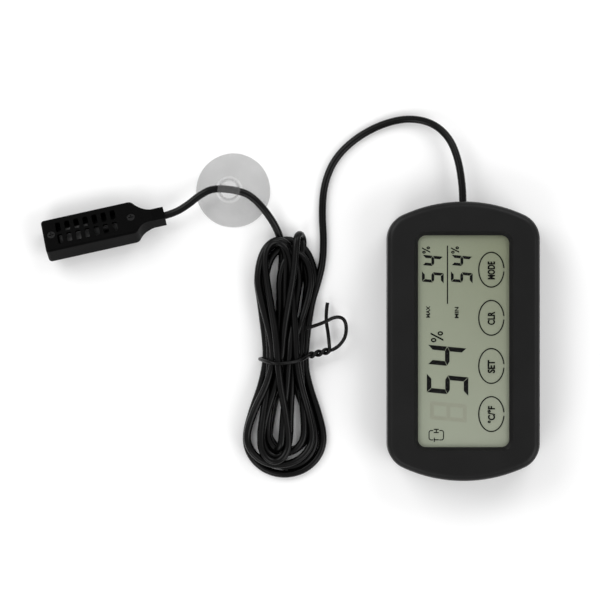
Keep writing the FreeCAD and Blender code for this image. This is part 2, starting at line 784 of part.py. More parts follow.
def make_battery_door():
    body = new_body("battery_door")
    left = bay_left - D.door_rim + D.door_clearance
    right = bay_right + D.door_rim - D.door_clearance
    end = bay_outer_end - D.door_clearance
    door_top = D.door_inset + D.door_thickness
    tab_top = D.door_tab_bottom + D.door_tab_thickness
    sheet_outline = sketch_on(body, "XY_Plane", D.door_inset)
    draw_rectangle(sheet_outline, left, right, -end, end)
    pad(body, sheet_outline, D.door_thickness)
    for line in cell_lines:
        tab = sketch_on(body, "YZ_Plane", line)
        draw_polygon(tab, [(bay_end + D.door_clearance, door_top), (end, door_top), (end, D.door_tab_bottom),
                           (end + D.door_tab_reach, D.door_tab_bottom), (end + D.door_tab_reach, tab_top),
                           (bay_end + D.door_clearance, tab_top)])
        pad(body, tab, D.door_tab_width, symmetric=True)
    latch = sketch_on(body, "YZ_Plane", D.bay_middle)
    outer = -end - D.door_latch_depth + 0.7
    leg = D.door_latch_leg
    draw_polygon(latch, [(-end + leg, door_top), (-end + leg, D.door_latch_height),
                         (outer, D.door_latch_height), (outer, D.door_latch_lip),
                         (outer + leg, D.door_latch_lip), (outer + leg, D.door_latch_height - leg),
                         (-end, D.door_latch_height - leg), (-end, door_top)])
    pad(body, latch, D.door_latch_width, symmetric=True)
    grooves = sketch_on(body, "XY_Plane", D.door_inset)
    for index in range(DOOR_GROOVES):
        start = -end + D.door_groove_start + D.door_groove_pitch * index
        draw_rectangle(grooves, D.bay_middle - D.door_groove_length / 2,
                       D.bay_middle + D.door_groove_length / 2, start, start + D.door_groove_width)
    pocket(body, grooves, D.door_groove_depth, reverse=True)


def make_stand():
    body = new_body("stand")
    half = D.stand_length / 2
    leaf = sketch_on(body, "XY_Plane", D.stand_bottom)
    draw_rectangle(leaf, D.stand_axis_across, D.stand_end, -half, half)
    pad(body, leaf, D.stand_thickness)
    pins = D.stand_length + D.stand_pin_reach
    for radius, length in ((D.stand_barrel_radius, D.stand_length), (D.stand_pin_radius, pins)):
        round_bar = sketch_on(body, "XZ_Plane")
        draw_circle(round_bar, D.stand_axis_across, D.stand_axis_height, radius)
        pad(body, round_bar, length, symmetric=True)
    margin = D.stand_panel_margin
    panel = sketch_on(body, "XY_Plane", D.stand_bottom)
    draw_rounded_rectangle(panel, D.stand_axis_across + margin, D.stand_end - margin - 2.0,
                           margin - half, half - margin, as_size(2.0))
    pocket(body, panel, D.stand_panel_depth, reverse=True)
    notch = sketch_on(body, "XY_Plane", D.stand_bottom)
    draw_circle(notch, D.stand_end - D.stand_notch_reach + D.stand_notch_radius, 0, D.stand_notch_radius)
    pocket(body, notch, D.stand_thickness, reverse=True)


# ---- Display unit: screen and electronics -------------------------------------------------------

def make_screen():
    half_panel = D.panel_width / 2
    half_length = D.panel_length / 2
    plate("touch_panel", -half_panel, half_panel, -half_length, half_length, D.panel_corner,
          panel_bottom, D.panel_thickness)
    tail_bottom = D.film_tail_middle - D.film_tail_width / 2
    tail_top = D.film_tail_middle + D.film_tail_width / 2
    tail_right = D.lcd_frame_width / 2 + 0.1 + D.film_thickness
    film_half = half_panel - D.film_margin
    film_half_length = half_length - D.film_margin
    film = block(-film_half, film_half, -film_half_length, film_half_length, film_bottom, panel_bottom)
    bend = block(film_half, tail_right, tail_bottom, tail_top, film_bottom, panel_bottom)
    tail = block(tail_right - D.film_thickness, tail_right, tail_bottom, tail_top, board_top, panel_bottom)
    keep(fuse([film, bend, tail], "touch_film"), "touch_film")

    half_glass = D.glass_length / 2
    corner = as_size(0.5)
    rear_right = D.glass_right - D.contact_ledge
    margin = 0.4
    plate("lcd_front_polariser", margin - D.glass_left, D.glass_right - margin, margin - half_glass,
          half_glass - margin, corner, front_glass_bottom + D.glass_thickness, D.polariser_thickness)
    plate("lcd_front_glass", -D.glass_left, D.glass_right, -half_glass, half_glass, corner,
          front_glass_bottom, D.glass_thickness)
    plate("lcd_rear_glass", -D.glass_left, rear_right, -half_glass, half_glass, corner,
          rear_glass_bottom, D.glass_thickness)
    plate("lcd_reflector", margin - D.glass_left, rear_right - margin, margin - half_glass,
          half_glass - margin, corner, reflector_bottom, D.polariser_thickness)

    half_frame = D.lcd_frame_width / 2
    half_frame_length = D.lcd_frame_length / 2
    zebra_left = D.zebra_middle - D.zebra_width / 2
    zebra_right = D.zebra_middle + D.zebra_width / 2
    frame_bottom = reflector_bottom - D.lcd_frame_floor
    outer = block(-half_frame, half_frame, -half_frame_length, half_frame_length, frame_bottom, film_bottom)
    play = D.glass_play
    seat = block(-D.glass_left - play, D.glass_right + play, -half_glass - play, half_glass + play,
                 reflector_bottom, D.case_depth)
    half_hole = half_glass - D.light_hole_end
    light_hole = block(-half_panel + D.light_hole_left, half_panel - D.light_hole_right,
                       -half_hole, half_hole, 0.0, D.case_depth)
    zebra_slot = block(zebra_left, zebra_right, -D.zebra_length / 2, D.zebra_length / 2, 0.0, D.case_depth)
    keep(cut(outer, fuse([seat, light_hole, zebra_slot], "lcd_frame_openings"), "lcd_frame"), "lcd_frame")
    half_zebra = D.zebra_length / 2
    keep(block(zebra_left, zebra_right, -half_zebra, half_zebra, board_top, front_glass_bottom),
         "zebra_strip")


def make_board():
    board = plate("main_pcb", D.board_left, D.board_right, -D.board_length / 2, D.board_length / 2,
                  D.board_corner, D.board_underside, D.board_thickness)
    holes = sketch_on(board, "XY_Plane", D.board_underside)
    for across, along in board_screw_places:
        draw_circle(holes, across, along, D.board_screw_radius)
    pocket(board, holes, D.board_thickness, reverse=True)

    blob = new_body("controller_blob")
    dome = sketch_on(blob, "XZ_Plane")
    rim = D.blob_radius
    draw_polygon(dome, [(as_size(0.0), as_size(0.0)), (rim, as_size(0.0)), (rim * 0.85, -D.blob_height * 0.6),
                        (rim * 0.5, -D.blob_height * 0.92), (as_size(0.0), -D.blob_height)])
    revolve(blob, dome)
    blob.setExpression("Placement.Base.x", D.blob_across.expression)
    blob.setExpression("Placement.Base.z", D.board_underside.expression)

    crystal_start = (D.board_left + D.crystal_across, D.crystal_along, D.board_underside - D.crystal_radius)
    keep(rod("Y", crystal_start, D.crystal_radius, D.crystal_length), "watch_crystal")
    chips = []
    for column in range(CHIP_COLUMNS):
        for line in range(CHIP_LINES):
            chip_left = D.board_left + D.chips_across + D.chip_pitch_across * column
            chip_front = D.chips_along + D.chip_pitch_along * line
            chips.append(block(chip_left, chip_left + D.chip_length, chip_front, chip_front + D.chip_width,
                               D.board_underside - D.chip_height, D.board_underside))
    group(chips, "chip_parts")


def cross_recess(across, along, head_radius, bottom, top):
    """The cross that a driver fits into, in a screw head centred at (across, along)."""
    arm = head_radius * CROSS_REACH
    blade = head_radius * CROSS_BLADE
    return fuse([block(across - arm, across + arm, along - blade, along + blade, bottom, top),
                 block(across - blade, across + blade, along - arm, along + arm, bottom, top)],
                "cross_recess")


def make_screw(place, bottom, up, head_radius, head, radius):
    """A pan-head self-tapping screw that stands head down, with a cross recess in the head."""
    across, along = place
    body = rod("Z", (across, along, bottom), head_radius, head)
    shank = rod("Z", (across, along, bottom), radius, up)
    recess = cross_recess(across, along, head_radius, bottom - CUT_SPARE, bottom + head / 2)
    return cut(fuse([body, shank], "screw_blank"), recess, "screw")


def make_display_screws():
    case_head_bottom = D.counterbore_depth - D.case_screw_head
    case_up = D.case_screw_length + D.case_screw_head
    group([make_screw(place, case_head_bottom, case_up, D.case_screw_head_radius, D.case_screw_head,
                      D.case_screw_radius) for place in case_screw_places], "case_screws")
    board_head_bottom = D.board_underside - D.board_screw_head
    board_up = D.board_screw_length + D.board_screw_head
    group([make_screw(place, board_head_bottom, board_up, D.board_screw_head_radius, D.board_screw_head,
                      D.board_screw_radius) for place in board_screw_places], "board_screws")


# ---- Display unit: battery cells and contacts ---------------------------------------------------

def make_cell(label, line, heading):
    """An AAA cell along Y. Heading is +1 when its positive nub points to +Y."""
    body = new_body(label)
    profile = sketch_on(body, "XY_Plane")
    shoulder = D.cell_length - D.cell_nub_height
    zero = as_size(0.0)
    draw_polygon(profile, [(zero, zero), (D.cell_radius - D.cell_crimp, zero), (D.cell_radius, D.cell_crimp),
                           (D.cell_radius, shoulder - D.cell_crimp), (D.cell_radius - D.cell_crimp, shoulder),
                           (D.cell_nub_radius, shoulder), (D.cell_nub_radius, D.cell_length),
                           (zero, D.cell_length)])
    revolve(body, profile)
    start = (bay_end - D.contact_thickness * 2 - D.cell_length) * heading
    facing = FreeCAD.Rotation(FreeCAD.Vector(0, 0, 1), 90 - 90 * heading)
    body.Placement = FreeCAD.Placement(FreeCAD.Vector(), facing)
    bind(body, **{"Placement.Base.x": line, "Placement.Base.y": start, "Placement.Base.z": D.cell_height})


def coil_spring(line, wall, heading):
    """A compression spring between a contact plate and a cell's flat end, along heading * Y."""
    gap = D.bay_length - D.contact_thickness * 3 - D.cell_length
    height = gap - D.spring_wire_radius * 2
    helix = doc.addObject("Part::Helix", "spring_line")
    facing = FreeCAD.Rotation(FreeCAD.Vector(1, 0, 0), -90 * heading)
    helix.Placement = FreeCAD.Placement(FreeCAD.Vector(), facing)
    bind(helix, Radius=D.spring_radius, Height=height, Pitch=height / D.spring_turns.number)
    start = wall + D.spring_wire_radius * (0.5 * heading)
    bind(helix, **{"Placement.Base.x": line, "Placement.Base.y": start, "Placement.Base.z": D.cell_height})
    doc.recompute()
    begin = helix.Shape.Edges[0]
    first = begin.FirstParameter
    section = doc.addObject("Part::Feature", "spring_section")
    circle = Part.Circle(begin.valueAt(first), begin.tangentAt(first), D.spring_wire_radius.number)
    section.Shape = Part.Wire(circle.toShape())
    spring = doc.addObject("Part::Sweep", "spring")
    spring.Sections = [section]
    spring.Spine = (helix, ["Edge1"])
    spring.Solid = True
    spring.Frenet = True
    return spring


def contact_plate(left, right, wall, heading):
    edges = sorted((wall, wall + D.contact_thickness * heading), key=lambda y: y.number)
    return block(left, right, *edges, D.contact_bottom, D.contact_bottom + D.contact_height)


def contact_dimple(line, wall, heading):
    """The pressed bump that meets the cell's nub."""
    edges = sorted((wall + D.contact_thickness * heading, wall + D.contact_thickness * (2 * heading)),
                   key=lambda y: y.number)
    return rod("Y", (line, edges[0], D.cell_height), D.cell_nub_radius * 0.8, D.contact_thickness)


def contact_tab(line):
    half = D.contact_tab_width / 2
    tail = D.contact_tab_height + D.contact_tab_thickness
    return block(line - half, line + half, bay_end - D.contact_thickness, bay_end + D.contact_tab_length,
                 D.contact_tab_height, tail)


def make_contacts():
    half = D.contact_width / 2
    left_line, right_line = cell_lines
    positive = fuse([contact_plate(left_line - half, left_line + half, bay_end, -1),
                     contact_dimple(left_line, bay_end, -1), contact_tab(left_line)], "positive_contact")
    keep(positive, "positive_contact")
    inner_wall = bay_end - D.contact_thickness
    negative = fuse([contact_plate(right_line - half, right_line + half, bay_end, -1), contact_tab(right_line),
                     coil_spring(right_line, inner_wall, -1)], "negative_contact")
    keep(negative, "negative_contact")
    bridge = fuse([contact_plate(left_line - half, right_line + half, -bay_end, 1),
                   contact_dimple(right_line, -bay_end, 1), coil_spring(left_line, -inner_wall, 1)],
                  "bridge_contact")
    keep(bridge, "bridge_contact")


def make_wiring():
    left, right = (line.number for line in cell_lines)
    tab_end = (bay_end + D.contact_tab_length).number
    tab_height = D.contact_tab_height.number
    underside = D.board_underside.number
    battery_leads = [
        tube("positive_lead", [(left, tab_end, tab_height - 0.1), (left + 1.5, tab_end + 4, 7.6),
                               (-10, 34, 7), (-1, 35.5, 7.2), (1.5, 34.6, underside)], D.lead_radius),
        tube("negative_lead", [(right, tab_end, tab_height - 0.1), (right + 1, tab_end + 2.6, 7.8),
                               (-3, 31.6, 7.2), (1.5, 32, underside)], D.lead_radius),
    ]
    group(battery_leads, "battery_leads")
    jacket_end = DISPLAY_ROUTE[0][1]
    axis_height = D.parting_height.number
    probe_leads = []
    for index in range(4):
        side = (index - 1.5) * CORE_SPREAD
        lift = CORE_LIFT if index % 2 else -CORE_LIFT
        landing = FIRST_LANDING + LANDING_PITCH * index
        route = [(side, jacket_end, axis_height + lift), (side * 2, jacket_end - 3, 9.1 + lift),
                 (landing - 0.6, 38.6, 7.4), (landing, LANDING_LINE, underside)]
        probe_leads.append(tube(f"probe_lead_{index}", route, D.lead_radius * 0.5))
    group(probe_leads, "probe_leads")
    inner_face = D.case_screw_along + D.stop_behind_screw
    collar = rod("Y", (0.0, inner_face, D.parting_height), D.stop_radius, D.stop_width)
    head = block(-D.stop_head_half, D.stop_head_half, inner_face, inner_face + D.stop_width,
                 D.parting_height + D.stop_head_bottom, D.parting_height + D.stop_head_top)
    bore = rod("Y", (0.0, inner_face - CUT_SPARE, D.parting_height), D.cable_radius,
               D.stop_width + CUT_SPARE * 2)
    keep(cut(fuse([collar, head], "stop_blank"), bore, "cable_stop"), "cable_stop")


# ---- Cord, hank, tie and suction cup ------------------------------------------------------------

HANK_OUTLINE = [
    (-60.6, 41.4), (-56.2, 34.6), (-54.4, 29.0), (-55.2, 18.0), (-57.4, 4.0), (-58.1, -7.0), (-55.6, -19.0),
    (-51.6, -31.0), (-51.4, -41.5), (-57.6, -49.4), (-67.0, -51.8), (-76.6, -48.6), (-82.2, -40.6),
    (-81.8, -29.6), (-78.0, -18.4), (-75.2, -7.0), (-76.6, 5.0), (-78.2, 19.0), (-76.4, 31.0), (-70.6, 38.6),
]


def make_hank():
    body = new_body("cable_hank")
    outline = sketch_on(body, "XY_Plane")
    edge = Part.BSplineCurve()
    edge.interpolate(Points=[FreeCAD.Vector(x, y, 0) for x, y in HANK_OUTLINE], PeriodicFlag=True)
    outline.addGeometry(edge)
    pad(body, outline, D.hank_height)
    grooves = sketch_on(body, "XZ_Plane", D.tie_groove_line - D.tie_groove_width / 2)
    depth = D.tie_groove_depth
    draw_rectangle(grooves, D.tie_groove_left, D.tie_groove_right, as_size(0.0), depth)
    pocket(body, grooves, D.tie_groove_width, reverse=True)


def make_twist_tie():
    r = D.tie_radius.number
    top = D.hank_height.number + r
    band = tube("tie_band", [(-57.0, -5.6, 5.0), (-56.6, -6.6, top - 0.6), (-60.6, -8.0, top),
                             (-70.8, -8.2, top), (-76.0, -7.0, top - 0.8), (-76.6, -6.8, 1.6),
                             (-70.8, -6.8, r), (-61.0, -6.4, r), (-57.0, -5.8, 0.9), (-55.8, -5.4, 4.0)],
                D.tie_radius)
    twist = tube("tie_twist", [(-57.0, -5.2, 4.6), (-53.4, -5.5, 4.8), (-49.8, -3.6, 4.8)], D.tie_radius * 2)
    long_tail = tube("tie_long_tail", [(-50.6, -4.2, 5.0), (-46.4, -2.4, 4.8), (-43.6, 2.6, 4.8),
                                       (-44.2, 8.0, 5.4), (-48.0, 9.2, 7.6), (-53.4, 6.8, 9.4),
                                       (-58.6, 5.0, 9.6)], D.tie_radius)
    short_tail = tube("tie_short_tail", [(-50.2, -4.0, 4.6), (-50.3, 2.4, 4.0), (-51.4, 8.6, 3.4),
                                         (-50.9, 14.4, 3.0)], D.tie_radius)
    keep(fuse([band, twist, long_tail, short_tail], "twist_tie"), "twist_tie")


def make_suction_cup():
    body = new_body("suction_cup")
    zero = as_size(0.0)
    dish = sketch_on(body, "XZ_Plane")
    rim = D.cup_radius
    flat = D.cup_rim_flat
    draw_polygon(dish, [(zero, D.cup_hollow), (D.cup_dome_radius, D.cup_hollow * 0.86),
                        (rim * 0.66, D.cup_hollow * 0.4), (rim - flat, zero), (rim, zero),
                        (rim, D.cup_rim_thickness * 0.6),
                        (rim * 0.7, D.cup_rim_thickness + D.cup_hollow * 0.42),
                        (D.cup_dome_radius, D.cup_dome_height), (zero, D.cup_dome_height)])
    revolve(body, dish)
    for radius, bottom, top in ((D.knob_neck_radius, D.cup_hollow + 0.6, D.knob_top),
                                (D.knob_head_radius, D.knob_top - D.knob_head_thickness, D.knob_top)):
        post = sketch_on(body, "XY_Plane", bottom)
        draw_circle(post, D.knob_lean, zero, radius)
        knob = pad(body, post, top - bottom)
    swell = sketch_on(body, "XY_Plane", D.cord_bore_height - 2.7)
    draw_circle(swell, D.knob_lean, zero, D.knob_head_radius - 0.3)
    knob = pad(body, swell, D.knob_top - D.cord_bore_height + 1.0)
    dress(body, "Fillet", knob, level(D.knob_top), Radius=D.knob_head_thickness / 3)
    bore = sketch_on(body, "YZ_Plane", D.knob_lean)
    draw_circle(bore, zero, D.cord_bore_height, D.cable_bore_radius)
    pocket(body, bore, D.knob_head_radius * 2 + 1.0, symmetric=True)
    before_knob, after_knob = FreeCAD.Vector(*PROBE_ROUTE[4]), FreeCAD.Vector(*PROBE_ROUTE[5])
    heading = math.degrees(math.atan2(before_knob.y - after_knob.y, before_knob.x - after_knob.x))
    turn = FreeCAD.Rotation(FreeCAD.Vector(0, 0, 1), heading)
    knob_place = (before_knob + after_knob) * 0.5
    centre = knob_place - turn.multVec(FreeCAD.Vector(D.knob_lean.number, 0, 0))
    body.Placement = FreeCAD.Placement(FreeCAD.Vector(centre.x, centre.y, 0), turn)


# ---- Probe --------------------------------------------------------------------------------------

def draw_probe_outline(sketch, inset, length):
    """Body, round shoulders and a narrow neck, as a chain of tangent lines and arcs, moved in by inset."""
    half = (D.probe_half_width - inset).number
    neck = (D.probe_neck_half_width - inset).number
    shoulder = (D.probe_shoulder_radius - inset).number
    waist = (D.probe_waist_radius + inset).number
    shoulder_x = D.probe_body_length.number
    shoulder_y = half - shoulder
    waist_y = neck + waist
    reach = shoulder + waist
    waist_x = shoulder_x + math.sqrt(reach ** 2 - (waist_y - shoulder_y) ** 2)
    swing = math.atan2(waist_y - shoulder_y, waist_x - shoulder_x)
    start = as_size(inset).number
    turn = math.pi
    first = sketch.GeometryCount
    sketch.addGeometry(Part.LineSegment(vector(start, -half), vector(shoulder_x, -half)))
    sketch.addGeometry(arc((shoulder_x, -shoulder_y, 0), shoulder, -turn / 2, -swing))
    lower_waist = arc((waist_x, -waist_y, 0), waist, turn / 2, turn - swing)
    sketch.addGeometry(lower_waist)
    sketch.addGeometry(Part.LineSegment(vector(waist_x, -neck), vector(length, -neck)))
    sketch.addGeometry(Part.LineSegment(vector(length, -neck), vector(length, neck)))
    sketch.addGeometry(Part.LineSegment(vector(length, neck), vector(waist_x, neck)))
    upper_waist = arc((waist_x, waist_y, 0), waist, turn + swing, 1.5 * turn)
    sketch.addGeometry(upper_waist)
    sketch.addGeometry(arc((shoulder_x, shoulder_y, 0), shoulder, swing, turn / 2))
    sketch.addGeometry(Part.LineSegment(vector(shoulder_x, half), vector(start, half)))
    sketch.addGeometry(Part.LineSegment(vector(start, half), vector(start, -half)))
    joints = [(0, 2, 1, 1), (1, 2, 2, 2), (2, 1, 3, 1), (3, 2, 4, 1), (4, 2, 5, 1), (5, 2, 6, 2), (6, 1, 7, 1),
              (7, 2, 8, 1), (8, 2, 9, 1), (9, 2, 0, 1)]
    square = {3, 4, 8, 9}
    for index, (one, one_end, other, other_end) in enumerate(joints):
        kind = "Coincident" if index in square else "Tangent"
        sketch.addConstraint(Sketcher.Constraint(kind, first + one, one_end, first + other, other_end))
    for side, direction in ((0, "Horizontal"), (3, "Horizontal"), (4, "Vertical"), (8, "Horizontal"),
                            (9, "Vertical"), (5, "Horizontal")):
        sketch.addConstraint(Sketcher.Constraint(direction, first + side))
    sketch.addConstraint(Sketcher.Constraint("Equal", first + 1, first + 7))
    sketch.addConstraint(Sketcher.Constraint("Equal", first + 2, first + 6))
    fix_radius(sketch, first + 1, D.probe_shoulder_radius - inset)
    fix_radius(sketch, first + 2, D.probe_waist_radius + inset)
    fix_point(sketch, first, 1, inset, inset - D.probe_half_width)
    fix_distance(sketch, "DistanceY", first + 8, 2, D.probe_half_width - inset)
    fix_distance(sketch, "DistanceX", first + 1, 3, D.probe_body_length)
    fix_distance(sketch, "DistanceX", first + 7, 3, D.probe_body_length)
    fix_point(sketch, first + 4, 1, length, inset - D.probe_neck_half_width)
    fix_distance(sketch, "DistanceY", first + 4, 2, D.probe_neck_half_width - inset)


def slope_neck(body, face, neck_face):
    """Takes the neck down from the body's face to its own thinner section."""
    beyond = face + (face - neck_face)
    start = D.probe_body_length + 1.5
    side = sketch_on(body, "XZ_Plane")
    draw_polygon(side, [(start, face), (D.probe_neck_start, neck_face), (D.probe_length + 1.0, neck_face),
                        (D.probe_length + 1.0, beyond), (start, beyond)])
    pocket(body, side, D.probe_half_width * 4, symmetric=True)


def cut_probe_cord_hole(body):
    """The cord's hole through the neck, and the wires' channel past the screw post."""
    hole_start = D.probe_length - 9.0
    hole = sketch_on(body, "YZ_Plane", hole_start)
    draw_circle(hole, 0, D.probe_parting, D.cable_radius)
    pocket(body, hole, D.probe_length - hole_start, reverse=True)
    channel = sketch_on(body, "YZ_Plane", D.probe_body_length)
    half = D.wire_channel_width / 2
    draw_rectangle(channel, as_size(0.0), D.wire_channel_middle + half, D.probe_parting - half,
                   D.probe_parting + half)
    pocket(body, channel, D.wire_channel_length, reverse=True)


probe_screw_stations = [D.probe_screw_near, D.probe_screw_far]


def make_probe_upper_shell():
    body = new_body("probe_upper_shell")
    outline = sketch_on(body, "XY_Plane", D.probe_parting)
    draw_probe_outline(outline, as_size(0.0), D.probe_length)
    solid = pad(body, outline, D.probe_height - D.probe_parting)
    far_end = D.probe_corner_radius.number * 0.5
    corners = dress(body, "Fillet", solid, lambda box: box.ZLength > 1 and box.XMax < far_end,
                    Radius=D.probe_corner_radius)
    dress(body, "Fillet", corners, lambda box: level(D.probe_height)(box)
          and box.XMax < D.probe_body_length.number + 0.5, Radius=D.probe_face_round)
    slope_neck(body, D.probe_height, D.probe_neck_top)
    inside = sketch_on(body, "XY_Plane", D.probe_parting)
    draw_rounded_rectangle(inside, D.probe_wall, D.probe_body_length + 1.0, D.probe_wall - D.probe_half_width,
                           D.probe_half_width - D.probe_wall, D.probe_inside_corner)
    pocket(body, inside, D.probe_height - D.probe_wall - D.probe_parting, reverse=True)
    posts = sketch_on(body, "XY_Plane", D.probe_height - D.probe_wall)
    for station in probe_screw_stations:
        draw_circle(posts, station, 0, D.probe_post_radius)
    pad(body, posts, D.probe_height - D.probe_wall - D.probe_parting, reverse=True)
    slots = sketch_on(body, "XY_Plane", D.probe_height)
    for index in range(PROBE_SLOTS):
        centre = D.slot_first + D.slot_pitch * index
        for near, far in ((D.slot_rib / 2, D.slot_half_length), (-D.slot_half_length, -D.slot_rib / 2)):
            draw_rounded_rectangle(slots, centre - D.slot_width / 2, centre + D.slot_width / 2, near, far,
                                   D.slot_corner)
    pocket(body, slots, D.probe_wall)
    heads = sketch_on(body, "XY_Plane", D.probe_height)
    holes = sketch_on(body, "XY_Plane", D.probe_height)
    for station in probe_screw_stations:
        draw_circle(heads, station, 0, D.probe_screw_head_radius)
        draw_circle(holes, station, 0, D.probe_screw_radius)
    pocket(body, heads, D.probe_screw_head + D.probe_head_sink)
    pocket(body, holes, D.probe_height - D.probe_parting)
    cut_probe_cord_hole(body)
    return body


def make_probe_lower_shell():
    body = new_body("probe_lower_shell")
    outline = sketch_on(body, "XY_Plane")
    draw_probe_outline(outline, as_size(0.0), D.probe_length)
    solid = pad(body, outline, D.probe_parting)
    far_end = D.probe_corner_radius.number * 0.5
    corners = dress(body, "Fillet", solid, lambda box: box.ZLength > 1 and box.XMax < far_end,
                    Radius=D.probe_corner_radius)
    neck_start = D.probe_body_length.number + 0.5
    dress(body, "Fillet", corners, lambda box: level(0.0)(box) and box.XMax < neck_start,
          Radius=D.probe_back_round)
    slope_neck(body, as_size(0.0), D.probe_neck_bottom)
    inside = sketch_on(body, "XY_Plane", D.probe_parting)
    draw_rounded_rectangle(inside, D.probe_wall, D.probe_body_length + 1.0, D.probe_wall - D.probe_half_width,
                           D.probe_half_width - D.probe_wall, D.probe_inside_corner)
    pocket(body, inside, D.probe_parting - D.probe_wall)
    posts = sketch_on(body, "XY_Plane", D.probe_wall)
    for station in probe_screw_stations:
        draw_circle(posts, station, 0, D.probe_post_radius)
    pad(body, posts, D.probe_parting - D.probe_wall)
    rests = sketch_on(body, "XY_Plane", D.probe_wall)
    middle = (D.probe_board_left + D.probe_board_right) / 2
    for side in (D.board_rest_near, D.board_rest_far):
        draw_rectangle(rests, middle - D.board_rest_half, middle + D.board_rest_half, side,
                       side + D.board_rest_width)
    pad(body, rests, D.probe_board_bottom - D.probe_wall)
    holes = sketch_on(body, "XY_Plane", D.probe_parting)
    for station in probe_screw_stations:
        draw_circle(holes, station, 0, D.probe_screw_radius)
    pocket(body, holes, D.probe_parting - D.probe_wall - D.probe_hole_floor)
    cut_probe_cord_hole(body)
    return body


def make_probe_insides():
    board_top_face = D.probe_board_bottom + D.probe_board_thickness
    half = D.probe_board_half_width
    board = plate("probe_pcb", D.probe_board_left, D.probe_board_right, -half, half, D.probe_board_corner,
                  D.probe_board_bottom, D.probe_board_thickness)
    sensor = group([block(D.sensor_start, D.sensor_end, -D.sensor_half, D.sensor_half, board_top_face,
                          board_top_face + D.sensor_height)], "humidity_sensor")
    bead = rod("X", (D.bead_start, 0.0, board_top_face + D.bead_height), D.bead_radius, D.bead_length)
    leg_end = D.bead_leg_place + D.bead_leg
    legs = [block(D.bead_leg_place, leg_end, side, side + D.bead_leg, board_top_face,
                  board_top_face + D.bead_height) for side in (-D.bead_leg * 2, D.bead_leg)]
    thermistor = keep(fuse([bead] + legs, "thermistor"), "thermistor")
    wires = []
    wire_end = D.probe_board_right.number - 0.6
    cord_end = D.probe_length.number - D.cord_in_neck.number
    channel = D.wire_channel_middle.number
    height = D.probe_parting.number
    for index, (side, lift) in enumerate(((-0.3, -0.3), (-0.3, 0.3), (0.3, -0.3), (0.3, 0.3))):
        route = [(cord_end, side, height + lift), (cord_end - 3.2, 0.3 + side, height + lift),
                 (cord_end - 5.0, channel + side, height + lift),
                 (wire_end + 4.4, channel + side, height + lift),
                 (wire_end, channel + side * 5, height + 0.26)]
        wires.append(tube(f"probe_wire_{index}", route, D.lead_radius * 0.5))
    wire_set = group(wires, "probe_wires")
    head_bottom = D.probe_height - D.probe_screw_head - D.probe_head_sink
    screws = []
    for station in probe_screw_stations:
        head = rod("Z", (station, 0.0, head_bottom), D.probe_screw_head_radius, D.probe_screw_head)
        shank = rod("Z", (station, 0.0, head_bottom - D.probe_screw_length), D.probe_screw_radius,
                    D.probe_screw_length)
        head_top = head_bottom + D.probe_screw_head
        recess = cross_recess(station, as_size(0.0), D.probe_screw_head_radius, head_top - D.probe_screw_head / 2,
                              head_top + CUT_SPARE)
        screws.append(cut(fuse([head, shank], "screw_blank"), recess, "probe_screw"))
    screw_set = group(screws, "probe_screws")
    return [board, sensor, thermistor, wire_set, screw_set]


PROBE_AT = (-156.35, 35.0)


def make_probe():
    """The probe lies rolled onto one long edge. Its frame: X to the neck, Y across, Z out of the face."""
    pieces = [make_probe_upper_shell(), make_probe_lower_shell()] + make_probe_insides()
    heading = FreeCAD.Rotation(FreeCAD.Vector(0, 0, 1), D.probe_heading.number)
    roll = FreeCAD.Rotation(FreeCAD.Vector(1, 0, 0), -D.probe_roll.number)
    turn = heading.multiply(roll)
    place = FreeCAD.Placement(FreeCAD.Vector(PROBE_AT[0], PROBE_AT[1], 0), turn)
    doc.recompute()
    shell = pieces[1].Shape.copy()
    shell.Placement = place.multiply(shell.Placement)
    place.Base.z = -shell.optimalBoundingBox(True).ZMin
    for piece in pieces:
        piece.Placement = place.multiply(piece.Placement)
    end = D.probe_length.number
    neck = place.multVec(FreeCAD.Vector(end, 0, D.probe_parting.number))
    inner = place.multVec(FreeCAD.Vector(end - D.cord_in_neck.number, 0, D.probe_parting.number))
    print("probe neck", [round(value, 2) for value in neck], "cord end", [round(value, 2) for value in inner])


# ---- The whole thermometer ----------------------------------------------------------------------

make_front_cover()
make_rear_cover()
make_battery_door()
make_stand()
make_screen()
make_board()
make_display_screws()
make_cell("battery_1", cell_lines[0], 1)
make_cell("battery_2", cell_lines[1], -1)
make_contacts()
make_wiring()
keep(tube("cable_display_end", DISPLAY_ROUTE, D.cable_radius), "cable_display_end")
keep(tube("cable_probe_end", PROBE_ROUTE, D.cable_radius), "cable_probe_end")
make_hank()
make_twist_tie()
make_suction_cup()
make_probe()
doc.recompute()

for item in doc.Objects:
    if "Invalid" in item.State or "Error" in item.State:
        raise RuntimeError(f"{item.Label} failed: {item.State}")
for label, item in nodes.items():
    if item.Shape.isNull() or not item.Shape.isValid() or not item.Shape.Solids:
        raise RuntimeError(f"{label} has no valid shape")
for label, item in nodes.items():
    item.Shape.exportStep(f"parts/{label}.step")
print(len(nodes), "nodes")
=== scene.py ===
import math

import bmesh
import bpy
from mathutils import Matrix, Vector


